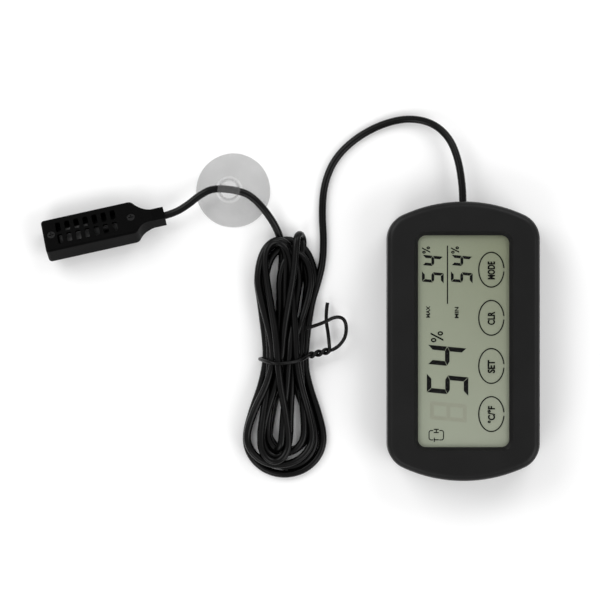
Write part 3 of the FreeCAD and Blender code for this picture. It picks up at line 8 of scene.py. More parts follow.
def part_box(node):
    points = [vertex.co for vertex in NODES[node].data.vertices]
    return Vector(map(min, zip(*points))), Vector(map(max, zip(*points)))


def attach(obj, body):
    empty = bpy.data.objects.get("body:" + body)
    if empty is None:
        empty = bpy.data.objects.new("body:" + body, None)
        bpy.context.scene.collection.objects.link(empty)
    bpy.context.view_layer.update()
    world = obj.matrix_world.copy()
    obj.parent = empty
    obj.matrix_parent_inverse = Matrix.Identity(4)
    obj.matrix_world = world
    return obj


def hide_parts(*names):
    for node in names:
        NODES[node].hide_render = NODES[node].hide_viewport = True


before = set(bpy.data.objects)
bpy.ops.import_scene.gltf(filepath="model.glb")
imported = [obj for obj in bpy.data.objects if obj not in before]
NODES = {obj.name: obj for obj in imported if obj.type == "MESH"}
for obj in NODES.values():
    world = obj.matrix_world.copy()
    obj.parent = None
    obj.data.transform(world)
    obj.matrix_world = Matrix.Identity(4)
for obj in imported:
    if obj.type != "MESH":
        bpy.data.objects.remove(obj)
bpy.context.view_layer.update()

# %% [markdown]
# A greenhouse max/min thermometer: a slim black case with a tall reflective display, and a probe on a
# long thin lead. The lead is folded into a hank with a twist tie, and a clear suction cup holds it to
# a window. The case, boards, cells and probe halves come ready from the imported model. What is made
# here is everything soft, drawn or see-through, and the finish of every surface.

MM = 0.001


def mm(*values):
    """A point or a list of sizes given in millimetres, in metres."""
    return tuple(value * MM for value in values)


# %% [markdown]
# The camera looks straight down at the thermometer lying on a pale table, with the display's long side
# pointing up. A long lens keeps the sides of the case almost hidden. It comes first, with the lead,
# because where the lead may lie depends on what the camera sees.

# %% The camera, straight above
VIEW_WIDTH = 225 * MM
VIEW_CENTRE = mm(-61.05, 15.4)
LENS_HEIGHT = 1.6
TOP_OF_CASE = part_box("front_cover")[1].z

lens = bpy.data.cameras.new("studio_camera")
lens.sensor_width = 36
lens.lens = lens.sensor_width * (LENS_HEIGHT - TOP_OF_CASE / 2) / VIEW_WIDTH
camera = bpy.data.objects.new("studio_camera", lens)
camera.location = (*VIEW_CENTRE, LENS_HEIGHT)
bpy.context.scene.collection.objects.link(camera)
bpy.context.scene.camera = camera
print("lens", round(lens.lens, 1), "mm")

# %% [markdown]
# The lead is one piece of round black PVC cable, 2.8 mm thick. It leaves the end of the case, runs
# round in a wide arc, and is folded to and fro eight times into a hank before it goes on to the probe.
# The two free ends are listed points. The hank is a loop over eight turns: each comes down one
# side, rounds the bottom, goes up the other side and folds over at the top. A turn has its own place
# in the bundle where the tie squeezes it, and its own loop and fold, so the turns fan out unevenly as
# springy cable does. One smooth spline goes through all of it.

# %% The free ends of the lead
CORD_DIAMETER = 2.8 * MM
CASE_EXIT = mm(0, 52.2, 9.5)
KNOB_AT = Vector(mm(-87.7, 56.9, 0))

display_end = [
    (0, 52.2, 9.5), (0, 57.0, 9.5), (-1.5, 67.9, 8.2), (-4.9, 76.6, 6.0), (-11.4, 82.3, 3.9),
    (-20.6, 84.0, 2.3), (-30.6, 81.6, 1.5), (-40.4, 76.2, 1.4), (-48.1, 68.6, 1.4), (-52.0, 59.0, 1.4),
    (-52.8, 48.5, 1.4), (-52.1, 38.0, 1.4), (-52.5, 29.2, 1.4), (-54.6, 21.0, 1.6), (-57.0, 13.6, 2.4),
]
probe_end = [
    (-67.4, 34.4, 1.5), (-69.2, 41.2, 2.4), (-72.6, 47.0, 5.4), (-77.2, 52.6, 7.0), (-82.2, 56.2, 7.4),
    (-93.2, 57.6, 7.4), (-98.6, 54.9, 7.4), (-103.4, 50.9, 7.1), (-109.0, 47.64, 6.61),
    (-115.26, 46.25, 6.61),
]

# %% Where each strand sits under the tie
WAIST_Y = -7.0
HANK_EXIT_X, HANK_EXIT_Y = -68.6, 30.0
STRAND = CORD_DIAMETER / MM
FLOOR_ROW = STRAND / 2
TIE_WIRE = 1.24
ROW_RISE = STRAND * math.sqrt(3) / 2


def row(first_x, level, count):
    """A row of strands packed side by side at the waist; rows above nest in the dips of the row below."""
    height = TIE_WIRE + STRAND / 2 + level * ROW_RISE
    return [(first_x + STRAND * place, height) for place in range(count)]


low = row(-73.6, 0, 6)
middle = row(-72.2, 1, 5)
high = row(-70.8, 2, 4)
crown = row(-69.4, 3, 1)
print("bundle top", round(crown[0][1] + STRAND / 2, 2), "mm")

# %% The eight turns: (down strand, bottom loop, up strand, top fold)
# A loop or fold is: side reached first, side reached last, its centre's y, its depth, and the heights
# of the two sides. The last turn has no fold, because the lead leaves the hank there.
turns = [
    (low[5], (-52.3, -81.3, -36.6, 13.6, 1.4, 1.4), low[0], (-76.6, -55.8, 24.0, 14.0, 1.4, 1.4)),
    (low[4], (-55.1, -75.9, -36.0, 11.3, 1.4, 1.4), low[1], (-73.8, -58.6, 23.0, 12.2, 1.4, 1.4)),
    (middle[4], (-59.5, -73.2, -34.0, 8.0, 4.2, 4.2), middle[1], (-68.4, -57.2, 23.0, 10.0, 4.2, 4.2)),
    (middle[3], (-65.0, -75.1, -35.4, 8.0, 4.2, 4.2), high[1], (-62.4, -59.9, 36.8, 3.2, 8.4, 1.5)),
    (low[3], (-57.9, -73.1, -33.0, 8.2, 1.4, 1.4), middle[2], (-66.5, -74.2, 31.0, 6.4, 4.2, 6.4)),
    (crown[0], (-65.3, -75.8, -37.4, 7.8, 7.0, 7.0), middle[0], (-75.2, -64.4, 28.0, 8.8, 4.0, 5.4)),
    (high[3], (-56.5, -81.0, -35.6, 11.0, 3.9, 6.2), high[0], (-76.7, -61.8, 24.0, 13.8, 6.3, 3.0)),
    (high[2], (-67.9, -72.9, -37.4, 3.6, 6.8, 1.4), low[2], None),
]


def ease(t):
    """A smooth start and stop between 0 and 1."""
    return t * t * (3 - 2 * t)


def leg(waist, side_x, side_z, side_y, steps):
    """Points between the waist and a side of a loop, fanning out smoothly; the waist itself is the first."""
    waist_x, waist_z = waist
    points = []
    for step in range(steps):
        t = step / steps
        points.append((waist_x + (side_x - waist_x) * ease(t), WAIST_Y + (side_y - WAIST_Y) * t,
                       waist_z + (side_z - waist_z) * ease(t)))
    return points


def bend(first_x, last_x, centre_y, depth, first_z, last_z, steps):
    """Half an ellipse between two sides. The points lie outside it, because the spline cuts inside them."""
    outside = 1 / math.cos(math.pi / steps / 2)
    centre_x, half = (first_x + last_x) / 2, (first_x - last_x) / 2
    points = []
    for step in range(steps + 1):
        angle = math.pi * step / steps
        share = (1 - math.cos(angle)) / 2
        points.append((centre_x + half * math.cos(angle) * outside,
                       centre_y + depth * math.sin(angle) * outside, first_z + (last_z - first_z) * share))
    return points


LOOP_STEPS = 6
FOLD_STEPS = 4
SIDE_STEPS = 3


def hank_points():
    """The control points of all eight turns, in millimetres."""
    points = []
    arrival = None
    for down, loop, up, fold in turns:
        first_x, last_x, centre_y, depth, first_z, last_z = loop
        if arrival:
            points += reversed(leg(down, *arrival, FOLD_STEPS)[1:])
        points += leg(down, first_x, first_z, centre_y, SIDE_STEPS)
        points += bend(first_x, last_x, centre_y, -depth, first_z, last_z, LOOP_STEPS)
        points += reversed(leg(up, last_x, last_z, centre_y, SIDE_STEPS))
        if fold:
            first_x, last_x, centre_y, depth, first_z, last_z = fold
            points += leg(up, first_x, first_z, centre_y, FOLD_STEPS)[1:]
            points += bend(first_x, last_x, centre_y, depth, first_z, last_z, FOLD_STEPS)
            arrival = (last_x, last_z, centre_y)
    points += leg(up, HANK_EXIT_X, FLOOR_ROW, HANK_EXIT_Y, FOLD_STEPS)[1:]
    return points


def spline_curve(name, points, diameter):
    """A round-section curve through control points given in millimetres."""
    curve = bpy.data.curves.new(name, "CURVE")
    curve.dimensions = "3D"
    spline = curve.splines.new("NURBS")
    spline.points.add(len(points) - 1)
    for point, place in zip(spline.points, points):
        point.co = (*mm(*place), 1)
    spline.order_u = 3
    spline.use_endpoint_u = True
    spline.resolution_u = 6
    curve.bevel_depth = diameter / 2
    curve.bevel_resolution = 4
    curve.use_fill_caps = True
    piece = bpy.data.objects.new(name, curve)
    bpy.context.scene.collection.objects.link(piece)
    return piece


lead = spline_curve("lead", display_end + hank_points() + probe_end, CORD_DIAMETER)
lead_length = sum(spline.calc_length() for spline in lead.data.splines)
print("lead", round(lead_length, 3), "m,", len(lead.data.splines[0].points), "points")

# %% [markdown]
# Every finish is a node material written as small Python expressions. A socket is wrapped in a class
# whose operators add the Math nodes, so a formula reads the way it would on paper. Moulded plastic gets
# a fine grain and slightly polished patches, cable gets fine pores and a dusty bloom, and metal and
# board get their own marks.

# %% Shader tools
class Value:
    """A number that changes over the surface: arithmetic on it adds Math nodes."""

    def __init__(self, paint, socket):
        self.paint = paint
        self.socket = socket

    def _math(self, operation, *values):
        return self.paint.node("ShaderNodeMath", {"operation": operation}, *values)

    def __add__(self, other):
        return self._math("ADD", self, other)

    def __sub__(self, other):
        return self._math("SUBTRACT", self, other)

    def __rsub__(self, other):
        return self._math("SUBTRACT", other, self)

    def __mul__(self, other):
        return self._math("MULTIPLY", self, other)

    def __truediv__(self, other):
        return self._math("DIVIDE", self, other)

    __radd__ = __add__
    __rmul__ = __mul__

    def above(self, edge, softness):
        """0 below the edge and 1 above it, with a soft step between."""
        return self.paint.node("ShaderNodeMapRange", {"interpolation_type": "SMOOTHSTEP"}, self,
                               edge - softness, edge + softness)


class Paint:
    """One material. Constants go straight on the shader's sockets, and linked values come later."""

    def __init__(self, name, colour, **constants):
        self.material = bpy.data.materials.new(name)
        self.material.use_nodes = True
        self.tree = self.material.node_tree
        self.shader = self.tree.nodes["Principled BSDF"]
        self.set("Base Color", (*colour, 1))
        for socket, constant in constants.items():
            self.set(socket.replace("_", " "), constant)
        self.place = self.node("ShaderNodeTexCoord", {}, output="Object")

    def set(self, socket, value):
        target = self.shader.inputs[socket]
        if isinstance(value, Value):
            self.tree.links.new(value.socket, target)
        else:
            target.default_value = value

    def node(self, kind, settings, *values, output=0, **named):
        """Adds a node: its settings are set first, then its inputs in order or by name."""
        made = self.tree.nodes.new(kind)
        for setting, choice in settings.items():
            setattr(made, setting, choice)
        for key, value in [*enumerate(values), *named.items()]:
            socket = made.inputs[key]
            if isinstance(value, Value):
                self.tree.links.new(value.socket, socket)
            else:
                socket.default_value = value
        return Value(self, made.outputs[output])

    def noise(self, scale, detail=2.0, place=None):
        """Cloudy variation between 0 and 1; scale counts its cells in a metre."""
        return self.node("ShaderNodeTexNoise", {}, Vector=place or self.place, Scale=scale, Detail=detail)

    def mix(self, share, first, second):
        """One colour fading into another."""
        made = self.tree.nodes.new("ShaderNodeMix")
        made.data_type = "RGBA"
        for socket, value in ((made.inputs[0], share), (made.inputs[6], first), (made.inputs[7], second)):
            if isinstance(value, Value):
                self.tree.links.new(value.socket, socket)
            else:
                socket.default_value = value if socket == made.inputs[0] else (*value, 1)
        return Value(self, made.outputs[2])

    def axis(self, letter):
        """One coordinate of the place on the object, in metres."""
        return self.node("ShaderNodeSeparateXYZ", {}, self.place, output=letter)

    def bump(self, height, distance):
        """Relief of this depth, in metres, that follows a value between 0 and 1."""
        self.set("Normal", self.node("ShaderNodeBump", {}, Strength=1.0, Distance=distance, Height=height))


def grey(level):
    """A neutral colour from its brightness on screen, 0 to 255."""
    return (((level / 255 + 0.055) / 1.055) ** 2.4,) * 3


def screen_colour(red, green, blue):
    """A colour from its three brightnesses on screen, 0 to 255."""
    return tuple(grey(level)[0] for level in (red, green, blue))


# %% Moulded black plastic, for the case, the door, the stand and the probe
def moulded(name, level, roughness, grain_scale, grain_depth, shine=0.2):
    """Injection-moulded plastic: spark-eroded grain, with slightly glossier rubbed patches."""
    paint = Paint(name, grey(level), Specular_IOR_Level=shine)
    grain = paint.noise(grain_scale, 3.0)
    patches = paint.noise(60.0, 2.0)
    paint.set("Base Color", paint.mix(patches * 0.6 + grain * 0.4, grey(level * 0.82), grey(level * 1.2)))
    paint.set("Roughness", patches * 0.16 + grain * 0.1 + (roughness - 0.13))
    paint.bump(grain, grain_depth)
    return paint.material


case_black = moulded("case_black", 17, 0.38, 5200.0, 0.00003)
probe_black = moulded("probe_black", 4, 0.4, 6500.0, 0.00003, 0.03)
nylon_black = moulded("nylon_black", 34, 0.55, 3800.0, 0.00002)


# %% Cable jacket, with fine pores and a dusty bloom
def extruded(name, level, roughness):
    """Soft PVC drawn through a die: satin, with a dusty bloom in places."""
    paint = Paint(name, grey(level), Specular_IOR_Level=0.18)
    bloom = paint.noise(140.0, 3.0)
    pores = paint.noise(9000.0, 1.0)
    paint.set("Base Color", paint.mix(bloom, grey(level * 0.75), grey(level * 1.3)))
    paint.set("Roughness", bloom * 0.18 + (roughness - 0.09))
    paint.bump(pores * 0.5 + bloom * 0.5, 0.00002)
    return paint.material


cord_black = extruded("cord_black", 4, 0.24)
tie_black = extruded("tie_black", 4, 0.26)


# %% Clear and see-through layers
def see_through(name, colour, opacity, roughness):
    """A thin clear layer: mostly open, with its surface shine and a little uneven haze."""
    paint = Paint(name, colour, IOR=1.46)
    haze = paint.noise(45.0, 2.0)
    paint.set("Alpha", haze * opacity * 0.4 + opacity * 0.8)
    paint.set("Roughness", haze * 0.06 + roughness)
    return paint.material


clear_panel = see_through("clear_panel", grey(60), 0.012, 0.03)
clear_film = see_through("clear_film", grey(60), 0.01, 0.06)
lcd_glass = see_through("lcd_glass", screen_colour(170, 190, 180), 0.02, 0.03)

# %% The grey-green face of the display, the colour of its reflector seen through the liquid crystal
SCREEN_WIDTH, SCREEN_LENGTH = 0.038, 0.08


def reflector():
    """The reflector's grain, and painted light and shade: lighter to the left and away from the lead."""
    film = Paint("display_face", screen_colour(140, 146, 125), Metallic=0.0, Roughness=0.5,
                 Specular_IOR_Level=0.2)
    along = film.axis("Y") / SCREEN_LENGTH + 0.5
    across = film.axis("X") / SCREEN_WIDTH + 0.5
    # Painted light and shade: the screen's colour darkens along its length and grows lighter towards its left
    # side.
    painted_light_lengthwise = film.mix(along, screen_colour(148, 153, 137), screen_colour(120, 125, 102))
    sparkle = film.noise(16000.0, 1.0)
    painted_light_sideways = film.mix((1 - across) * 0.5, painted_light_lengthwise, screen_colour(150, 157, 139))
    film.set("Base Color", film.mix(sparkle * 0.12, painted_light_sideways, screen_colour(96, 100, 86)))
    film.bump(sparkle, 0.00001)
    return film.material


display_face = reflector()


# %% Printed marks, and segments switched on and off
def printed(name, colour):
    """Ink or a switched-on segment: a flat dark tone with tiny pinholes."""
    paint = Paint(name, colour, Roughness=0.45, Specular_IOR_Level=0.1)
    pinholes = paint.noise(7000.0, 1.0)
    paint.set("Base Color", paint.mix(pinholes, colour, tuple(tone * 1.6 + 0.002 for tone in colour)))
    paint.set("Alpha", pinholes * 0.06 + 0.95)
    return paint.material


def unlit():
    """A switched-off segment, hardly darker than the screen."""
    paint = Paint("segment_ghost", screen_colour(138, 141, 126), Roughness=0.5, Specular_IOR_Level=0.1)
    streaks = paint.noise(900.0, 2.0)
    paint.set("Base Color", paint.mix(streaks, screen_colour(135, 138, 122), screen_colour(143, 145, 130)))
    return paint.material


segment_black = printed("segment_black", screen_colour(4, 5, 4))
segment_ghost = unlit()
key_ink = printed("key_ink", screen_colour(5, 7, 3))


# %% Boards, parts and metal
def metal(name, colour, roughness, scratch_scale):
    """Stamped or turned metal with fine scratches along one way."""
    paint = Paint(name, colour, Metallic=1.0)
    stretched = paint.node("ShaderNodeMapping", {}, Vector=paint.place, Scale=(1.0, 0.08, 1.0))
    scratches = paint.noise(scratch_scale, 4.0, stretched)
    stain = paint.noise(220.0, 2.0)
    paint.set("Base Color", paint.mix(stain, colour, tuple(tone * 0.72 for tone in colour)))
    paint.set("Roughness", scratches * 0.25 + stain * 0.12 + (roughness - 0.18))
    paint.bump(scratches, 0.00001)
    return paint.material


contact_steel = metal("contact_steel", (0.62, 0.62, 0.6), 0.32, 6000.0)
screw_steel = metal("screw_steel", (0.17, 0.17, 0.18), 0.38, 8000.0)
screw_black = metal("screw_black", grey(46), 0.3, 8000.0)
can_metal = metal("can_metal", (0.7, 0.69, 0.66), 0.28, 5000.0)
solder = metal("solder", (0.68, 0.69, 0.7), 0.3, 3000.0)


def circuit_board(name, mask, thread, copper_tone, coat):
    """Glass-fibre board under its solder mask: the weave shows faintly and the copper stands up."""
    board = Paint(name, mask, Specular_IOR_Level=0.4, Coat_Weight=coat, Coat_Roughness=0.15)
    weave = board.node("ShaderNodeTexChecker", {}, board.place, Scale=1600.0, output=1)
    copper = board.noise(380.0, 1.0).above(0.56, 0.01)
    board.set("Base Color", board.mix(copper * 0.7, board.mix(weave, mask, thread), copper_tone))
    board.set("Roughness", weave * 0.08 + 0.28)
    board.bump(copper, 0.00003)
    return board.material


board_green = circuit_board("board_green", screen_colour(18, 72, 42), screen_colour(24, 84, 50),
                            screen_colour(60, 128, 74), 0.3)
board_black = circuit_board("board_black", grey(4), grey(6), grey(12), 0.0)


def potted(name, level, roughness, scale):
    """Poured or moulded dark resin and rubber: smooth with small flow marks."""
    paint = Paint(name, grey(level), Specular_IOR_Level=0.3)
    flow = paint.noise(scale, 3.0)
    paint.set("Base Color", paint.mix(flow, grey(level * 0.8), grey(level * 1.25)))
    paint.set("Roughness", flow * 0.2 + (roughness - 0.1))
    paint.bump(flow, 0.00004)
    return paint.material


epoxy_black = potted("epoxy_black", 20, 0.3, 500.0)
chip_black = potted("chip_black", 34, 0.5, 2600.0)
frame_white = potted("frame_white", 226, 0.55, 700.0)
sensor_grey = potted("sensor_grey", 74, 0.4, 900.0)

LAYER_PITCH = 0.00025


def layered_rubber():
    """Rubber in thin layers across, in turn conducting black and insulating pink."""
    zebra = Paint("zebra_rubber", grey(60), Roughness=0.6)
    layers = zebra.node("ShaderNodeMath", {"operation": "PINGPONG"}, zebra.axis("Y"), LAYER_PITCH)
    pink_layers = (layers / LAYER_PITCH).above(0.5, 0.1)
    zebra.set("Base Color", zebra.mix(pink_layers, screen_colour(206, 130, 124), grey(26)))
    zebra.set("Roughness", zebra.noise(900.0) * 0.2 + 0.5)
    return zebra.material


def sleeve():
    """A cell's printed plastic sleeve, blue with a silver end, under a thin gloss."""
    cell = Paint("cell_jacket", screen_colour(40, 92, 150), Metallic=0.2, Coat_Weight=0.6,
                 Coat_Roughness=0.12)
    silver_end = cell.axis("Y").above(0.006, 0.0004)
    cell.set("Base Color", cell.mix(silver_end, screen_colour(36, 88, 150), screen_colour(190, 192, 196)))
    cell.set("Roughness", cell.noise(5000.0, 1.0) * 0.12 + 0.26)
    return cell.material


def wire_coat(leads, red, green, blue):
    """The thin PVC of a hook-up wire, unevenly tinted."""
    wire = Paint("wire_pvc_" + leads, screen_colour(red, green, blue), Specular_IOR_Level=0.5)
    tint = wire.noise(1200.0, 2.0)
    darker = screen_colour(red * 0.8, green * 0.8, blue * 0.8)
    wire.set("Base Color", wire.mix(tint, screen_colour(red, green, blue), darker))
    wire.set("Roughness", tint * 0.15 + 0.35)
    return wire.material


def clear_vinyl():
    """The cup's soft vinyl, clearest in the knob, where the lead shows through."""
    vinyl = Paint("cup_clear", grey(158), IOR=1.45)
    haze = vinyl.noise(160.0, 2.0)
    vinyl.set("Roughness", haze * 0.12 + 0.06)
    off_x, off_y = vinyl.axis("X") - KNOB_AT.x, vinyl.axis("Y") - KNOB_AT.y
    outside_knob = ((off_x * off_x + off_y * off_y) * 10000.0).above(0.26, 0.03)
    vinyl.set("Alpha", (haze * 0.08 + 0.2) * (outside_knob * 0.55 + 0.45))
    return vinyl.material


zebra_rubber = layered_rubber()
cell_jacket = sleeve()
cup_clear = clear_vinyl()
battery_red = wire_coat("battery_leads", 150, 20, 18)
probe_lead_cream = wire_coat("probe_leads", 205, 200, 190)
probe_wire_cream = wire_coat("probe_wires", 200, 196, 188)
print("materials", len(bpy.data.materials))

# %% [markdown]
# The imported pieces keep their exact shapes, and each one takes the finish of the real part that it is.

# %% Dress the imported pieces
finishes = {
    case_black: ["front_cover", "rear_cover", "battery_door", "stand"],
    probe_black: ["probe_upper_shell", "probe_lower_shell"],
    nylon_black: ["cable_stop"],
    clear_panel: ["touch_panel"],
    clear_film: ["touch_film"],
    lcd_glass: ["lcd_front_glass", "lcd_rear_glass"],
    display_face: ["lcd_front_polariser", "lcd_reflector"],
    frame_white: ["lcd_frame"],
    zebra_rubber: ["zebra_strip"],
    board_green: ["main_pcb"],
    board_black: ["probe_pcb"],
    epoxy_black: ["controller_blob"],
    can_metal: ["watch_crystal"],
    chip_black: ["chip_parts"],
    contact_steel: ["positive_contact", "negative_contact", "bridge_contact"],
    cell_jacket: ["battery_1", "battery_2"],
    screw_steel: ["case_screws", "board_screws"],
    screw_black: ["probe_screws"],
    sensor_grey: ["humidity_sensor", "thermistor"],
    cord_black: ["cable_display_end", "cable_hank", "cable_probe_end"],
    tie_black: ["twist_tie"],
    cup_clear: ["suction_cup"],
    battery_red: ["battery_leads"],
    probe_lead_cream: ["probe_leads"],
    probe_wire_cream: ["probe_wires"],
}
for material, pieces in finishes.items():
    for piece_name in pieces:
        piece = NODES[piece_name]
        piece.data.materials.clear()
        piece.data.materials.append(material)
lead.data.materials.append(cord_black)
print("dressed", sum(len(pieces) for pieces in finishes.values()), "of", len(NODES))

# %% [markdown]
# Things that repeat, or that follow a path, are made with Geometry Nodes: a small tree with named inputs
# for its sizes. A helper adds the nodes, another puts the tree on an object, sets its inputs and turns the
# result into a plain mesh, so that nothing live is left on the finished piece.

# %% Geometry Nodes tools
class Tree:
    """A Geometry Nodes tree that ends in Realize Instances and Set Material."""

    def __init__(self, name, **sizes):
        self.tree = bpy.data.node_groups.new(name, "GeometryNodeTree")
        face = self.tree.interface
        face.new_socket("Geometry", in_out="INPUT", socket_type="NodeSocketGeometry")
        face.new_socket("Geometry", in_out="OUTPUT", socket_type="NodeSocketGeometry")
        for label, kind in sizes.items():
            face.new_socket(label, in_out="INPUT", socket_type="NodeSocket" + kind)
        self.inputs = self.tree.nodes.new("NodeGroupInput").outputs

    def node(self, kind, settings=None, output=0, **values):
        """Adds a node; an input is named with its spaces as underscores, or by its number after an i."""
        made = self.tree.nodes.new(kind)
        for setting, choice in (settings or {}).items():
            setattr(made, setting, choice)
        for name, value in values.items():
            numbered = name[0] == "i" and name[1:].isdigit()
            socket = made.inputs[int(name[1:])] if numbered else made.inputs[name.replace("_", " ")]
            if isinstance(value, bpy.types.NodeSocket):
                self.tree.links.new(value, socket)
            else:
                socket.default_value = value
        return made.outputs[output]

    def finish(self, geometry):
        """Makes real geometry of the instances and gives it the Material input."""
        real = self.node("GeometryNodeRealizeInstances", Geometry=geometry)
        painted = self.node("GeometryNodeSetMaterial", Geometry=real, Material=self.inputs["Material"])
        end = self.tree.nodes.new("NodeGroupOutput")
        self.tree.links.new(painted, end.inputs["Geometry"])
        return self.tree


def grow(name, tree, base, **values):
    """Runs a tree on a base object and returns the result as a plain mesh object."""
    modifier = base.modifiers.new("grow", "NODES")
    modifier.node_group = tree
    for socket in tree.interface.items_tree:
        if socket.in_out == "INPUT" and socket.name in values:
            modifier[socket.identifier] = values[socket.name]
    evaluated = base.evaluated_get(bpy.context.evaluated_depsgraph_get())
    mesh = bpy.data.meshes.new_from_object(evaluated)
    mesh.name = name
    bpy.data.objects.remove(base)
    piece = bpy.data.objects.new(name, mesh)
    bpy.context.scene.collection.objects.link(piece)
    print(name, len(mesh.vertices), "points")
    return piece


def seed_points(name, places=((0, 0, 0),)):
    """A mesh of loose points, in millimetres, for a tree to start from."""
    mesh = bpy.data.meshes.new(name)
    mesh.from_pydata([mm(*place) for place in places], [], [])
    base = bpy.data.objects.new(name, mesh)
    bpy.context.scene.collection.objects.link(base)
    return base


def settle(piece, body, slot, *nodes):
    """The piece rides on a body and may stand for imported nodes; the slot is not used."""
    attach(piece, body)
    if nodes:
        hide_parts(*nodes)


# %% [markdown]
# The twist tie is a thin wire in a round plastic coat. It goes once round the bundle, the two ends are
# twisted together beside it, and then they spring apart: a long one curls back over the lead and a short
# one stands nearly straight. It is one smooth path from tail to tail, with a helix on both ways through
# the twist, and a tree sweeps the round coat along it.

# %% The tie
TIE_RADIUS = 0.68
TWIST_START, TWIST_END = Vector((-56.9, -5.3, 4.7)), Vector((-49.9, -3.6, 4.8))
TWIST_TURNS = 1.25
STEPS_PER_TURN = 12
TWIST_RADIUS = TIE_RADIUS * 1.12
band = [
    (-57.6, -5.2, 5.6), (-59.6, -6.7, 8.9), (-63.2, -7.9, 10.9), (-68.9, -8.5, 12.2), (-71.8, -8.2, 11.6),
    (-74.6, -7.3, 8.4), (-76.2, -6.9, 3.8), (-76.1, -6.7, 0.9), (-72.0, -6.6, 0.7), (-61.5, -6.3, 0.7),
    (-58.0, -5.9, 0.9), (-57.2, -5.5, 3.0),
]
long_tail = [(-48.4, -3.2, 4.9), (-45.8, -1.4, 4.8), (-43.5, 2.4, 4.8), (-43.9, 8.2, 5.6), (-47.6, 9.4, 8.0),
             (-53.0, 6.4, 9.4), (-58.6, 4.8, 9.6)]
short_tail = [(-50.0, -1.8, 4.4), (-50.4, 2.6, 3.6), (-51.5, 9.2, 3.0), (-50.7, 14.4, 2.8)]


def twisted(phase):
    """One of the two ends wound round each other, as points from the bundle outwards."""
    forward = (TWIST_END - TWIST_START).normalized()
    side = forward.cross(Vector((0, 0, 1))).normalized()
    up = side.cross(forward)
    steps = round(TWIST_TURNS * STEPS_PER_TURN)
    points = []
    for step in range(steps + 1):
        angle = math.tau * TWIST_TURNS * step / steps + phase
        centre = TWIST_START.lerp(TWIST_END, step / steps)
        points.append(tuple(centre + (side * math.cos(angle) + up * math.sin(angle)) * TWIST_RADIUS))
    return points


sweep = Tree("round_coat", Radius="Float", Material="Material")
coat = sweep.node("GeometryNodeCurvePrimitiveCircle", Resolution=14, Radius=sweep.inputs["Radius"])
swept = sweep.node("GeometryNodeCurveToMesh", Curve=sweep.inputs["Geometry"], Profile_Curve=coat,
                   Fill_Caps=True)
smooth = sweep.node("GeometryNodeSetShadeSmooth", Geometry=swept)
sweep_tree = sweep.finish(smooth)

tie_route = short_tail[::-1] + twisted(0)[::-1] + band + twisted(math.pi) + long_tail
tie_path = spline_curve("tie_path", tie_route, 0)
tie_path.data.use_fill_caps = False
tie = grow("wire_tie", sweep_tree, tie_path, Radius=TIE_RADIUS * MM, Material=tie_black)
settle(tie, "thermometer", "tie_black", "twist_tie")

# %% [markdown]
# The suction cup is clear soft vinyl: a thin dish with a flat sealing rim and a stub with a broad head,
# cross-drilled so that the lead threads through it. Both turned shapes come from a profile, joined and
# drilled with booleans. Its rim is slightly wavy, as a cup's is when nothing presses it down.

# %% The suction cup
BEFORE_KNOB, AFTER_KNOB = probe_end[4], probe_end[5]
CUP_HEADING = math.atan2(BEFORE_KNOB[1] - AFTER_KNOB[1], BEFORE_KNOB[0] - AFTER_KNOB[0])
CUP_SHIFT = 1.5 * MM
CUP_AT = KNOB_AT + CUP_SHIFT * Vector((math.cos(CUP_HEADING), math.sin(CUP_HEADING), 0))
BORE_HEIGHT, BORE_RADIUS, DRILL_LENGTH = 7.4, 1.6, 16
dish_profile = [
    (0, 2.6), (3.0, 2.5), (5.6, 2.2), (8.0, 1.5), (10.4, 0.75), (12.7, 0.05), (13.3, 0.0), (13.95, 0.04),
    (14.05, 0.3), (13.9, 0.6), (13.2, 0.7), (11.6, 1.15), (9.6, 2.05), (7.4, 3.1), (5.4, 3.9),
    (3.0, 4.15), (0, 4.2),
]
knob_profile = [
    (0, 3.2), (3.3, 3.2), (3.15, 4.4), (3.5, 5.0), (4.0, 5.6), (4.05, 7.6), (3.7, 8.4), (3.5, 8.9),
    (3.7, 9.3), (4.25, 9.6), (4.35, 10.2), (4.2, 10.75), (3.7, 11.1), (3.0, 11.15), (2.75, 10.8),
    (1.5, 10.7), (1.25, 11.0), (0, 11.05),
]


def turned(name, profile, centre, wave=0.0, steps=96):
    """A solid of revolution from (radius, height) points in millimetres; a wave makes its outline uneven."""
    shape = bmesh.new()
    rings = []
    for radius, height in profile:
        if radius == 0:
            rings.append([shape.verts.new((centre.x, centre.y, height * MM))])
            continue
        circle = []
        for step in range(steps):
            angle = math.tau * step / steps
            reach = radius / profile[len(profile) // 2][0]
            ripple = 1 + 0.6 * math.sin(3 * angle + 0.7) + 0.4 * math.sin(7 * angle)
            out = radius * MM * (1 - wave * reach ** 2 * ripple)
            spot = (centre.x + out * math.cos(angle), centre.y + out * math.sin(angle), height * MM)
            circle.append(shape.verts.new(spot))
        rings.append(circle)
    for one, other in zip(rings, rings[1:]):
        for step in range(steps):
            after = (step + 1) % steps
            corners = [one[step % len(one)], one[after % len(one)],
                       other[after % len(other)], other[step % len(other)]]
            shape.faces.new(list(dict.fromkeys(corners)))
    bmesh.ops.recalc_face_normals(shape, faces=shape.faces)
    mesh = bpy.data.meshes.new(name)
    shape.to_mesh(mesh)
    shape.free()
    piece = bpy.data.objects.new(name, mesh)
    bpy.context.scene.collection.objects.link(piece)
    return piece


def carve(piece, *steps):
    """Applies boolean steps (operation, other object) and removes the other objects."""
    for operation, other in steps:
        modifier = piece.modifiers.new(operation, "BOOLEAN")
        modifier.operation = operation
        modifier.object = other
        modifier.solver = "EXACT"
    evaluated = piece.evaluated_get(bpy.context.evaluated_depsgraph_get())
    finished = bpy.data.meshes.new_from_object(evaluated)
    piece.modifiers.clear()
    piece.data = finished
    for _, other in steps:
        bpy.data.objects.remove(other)


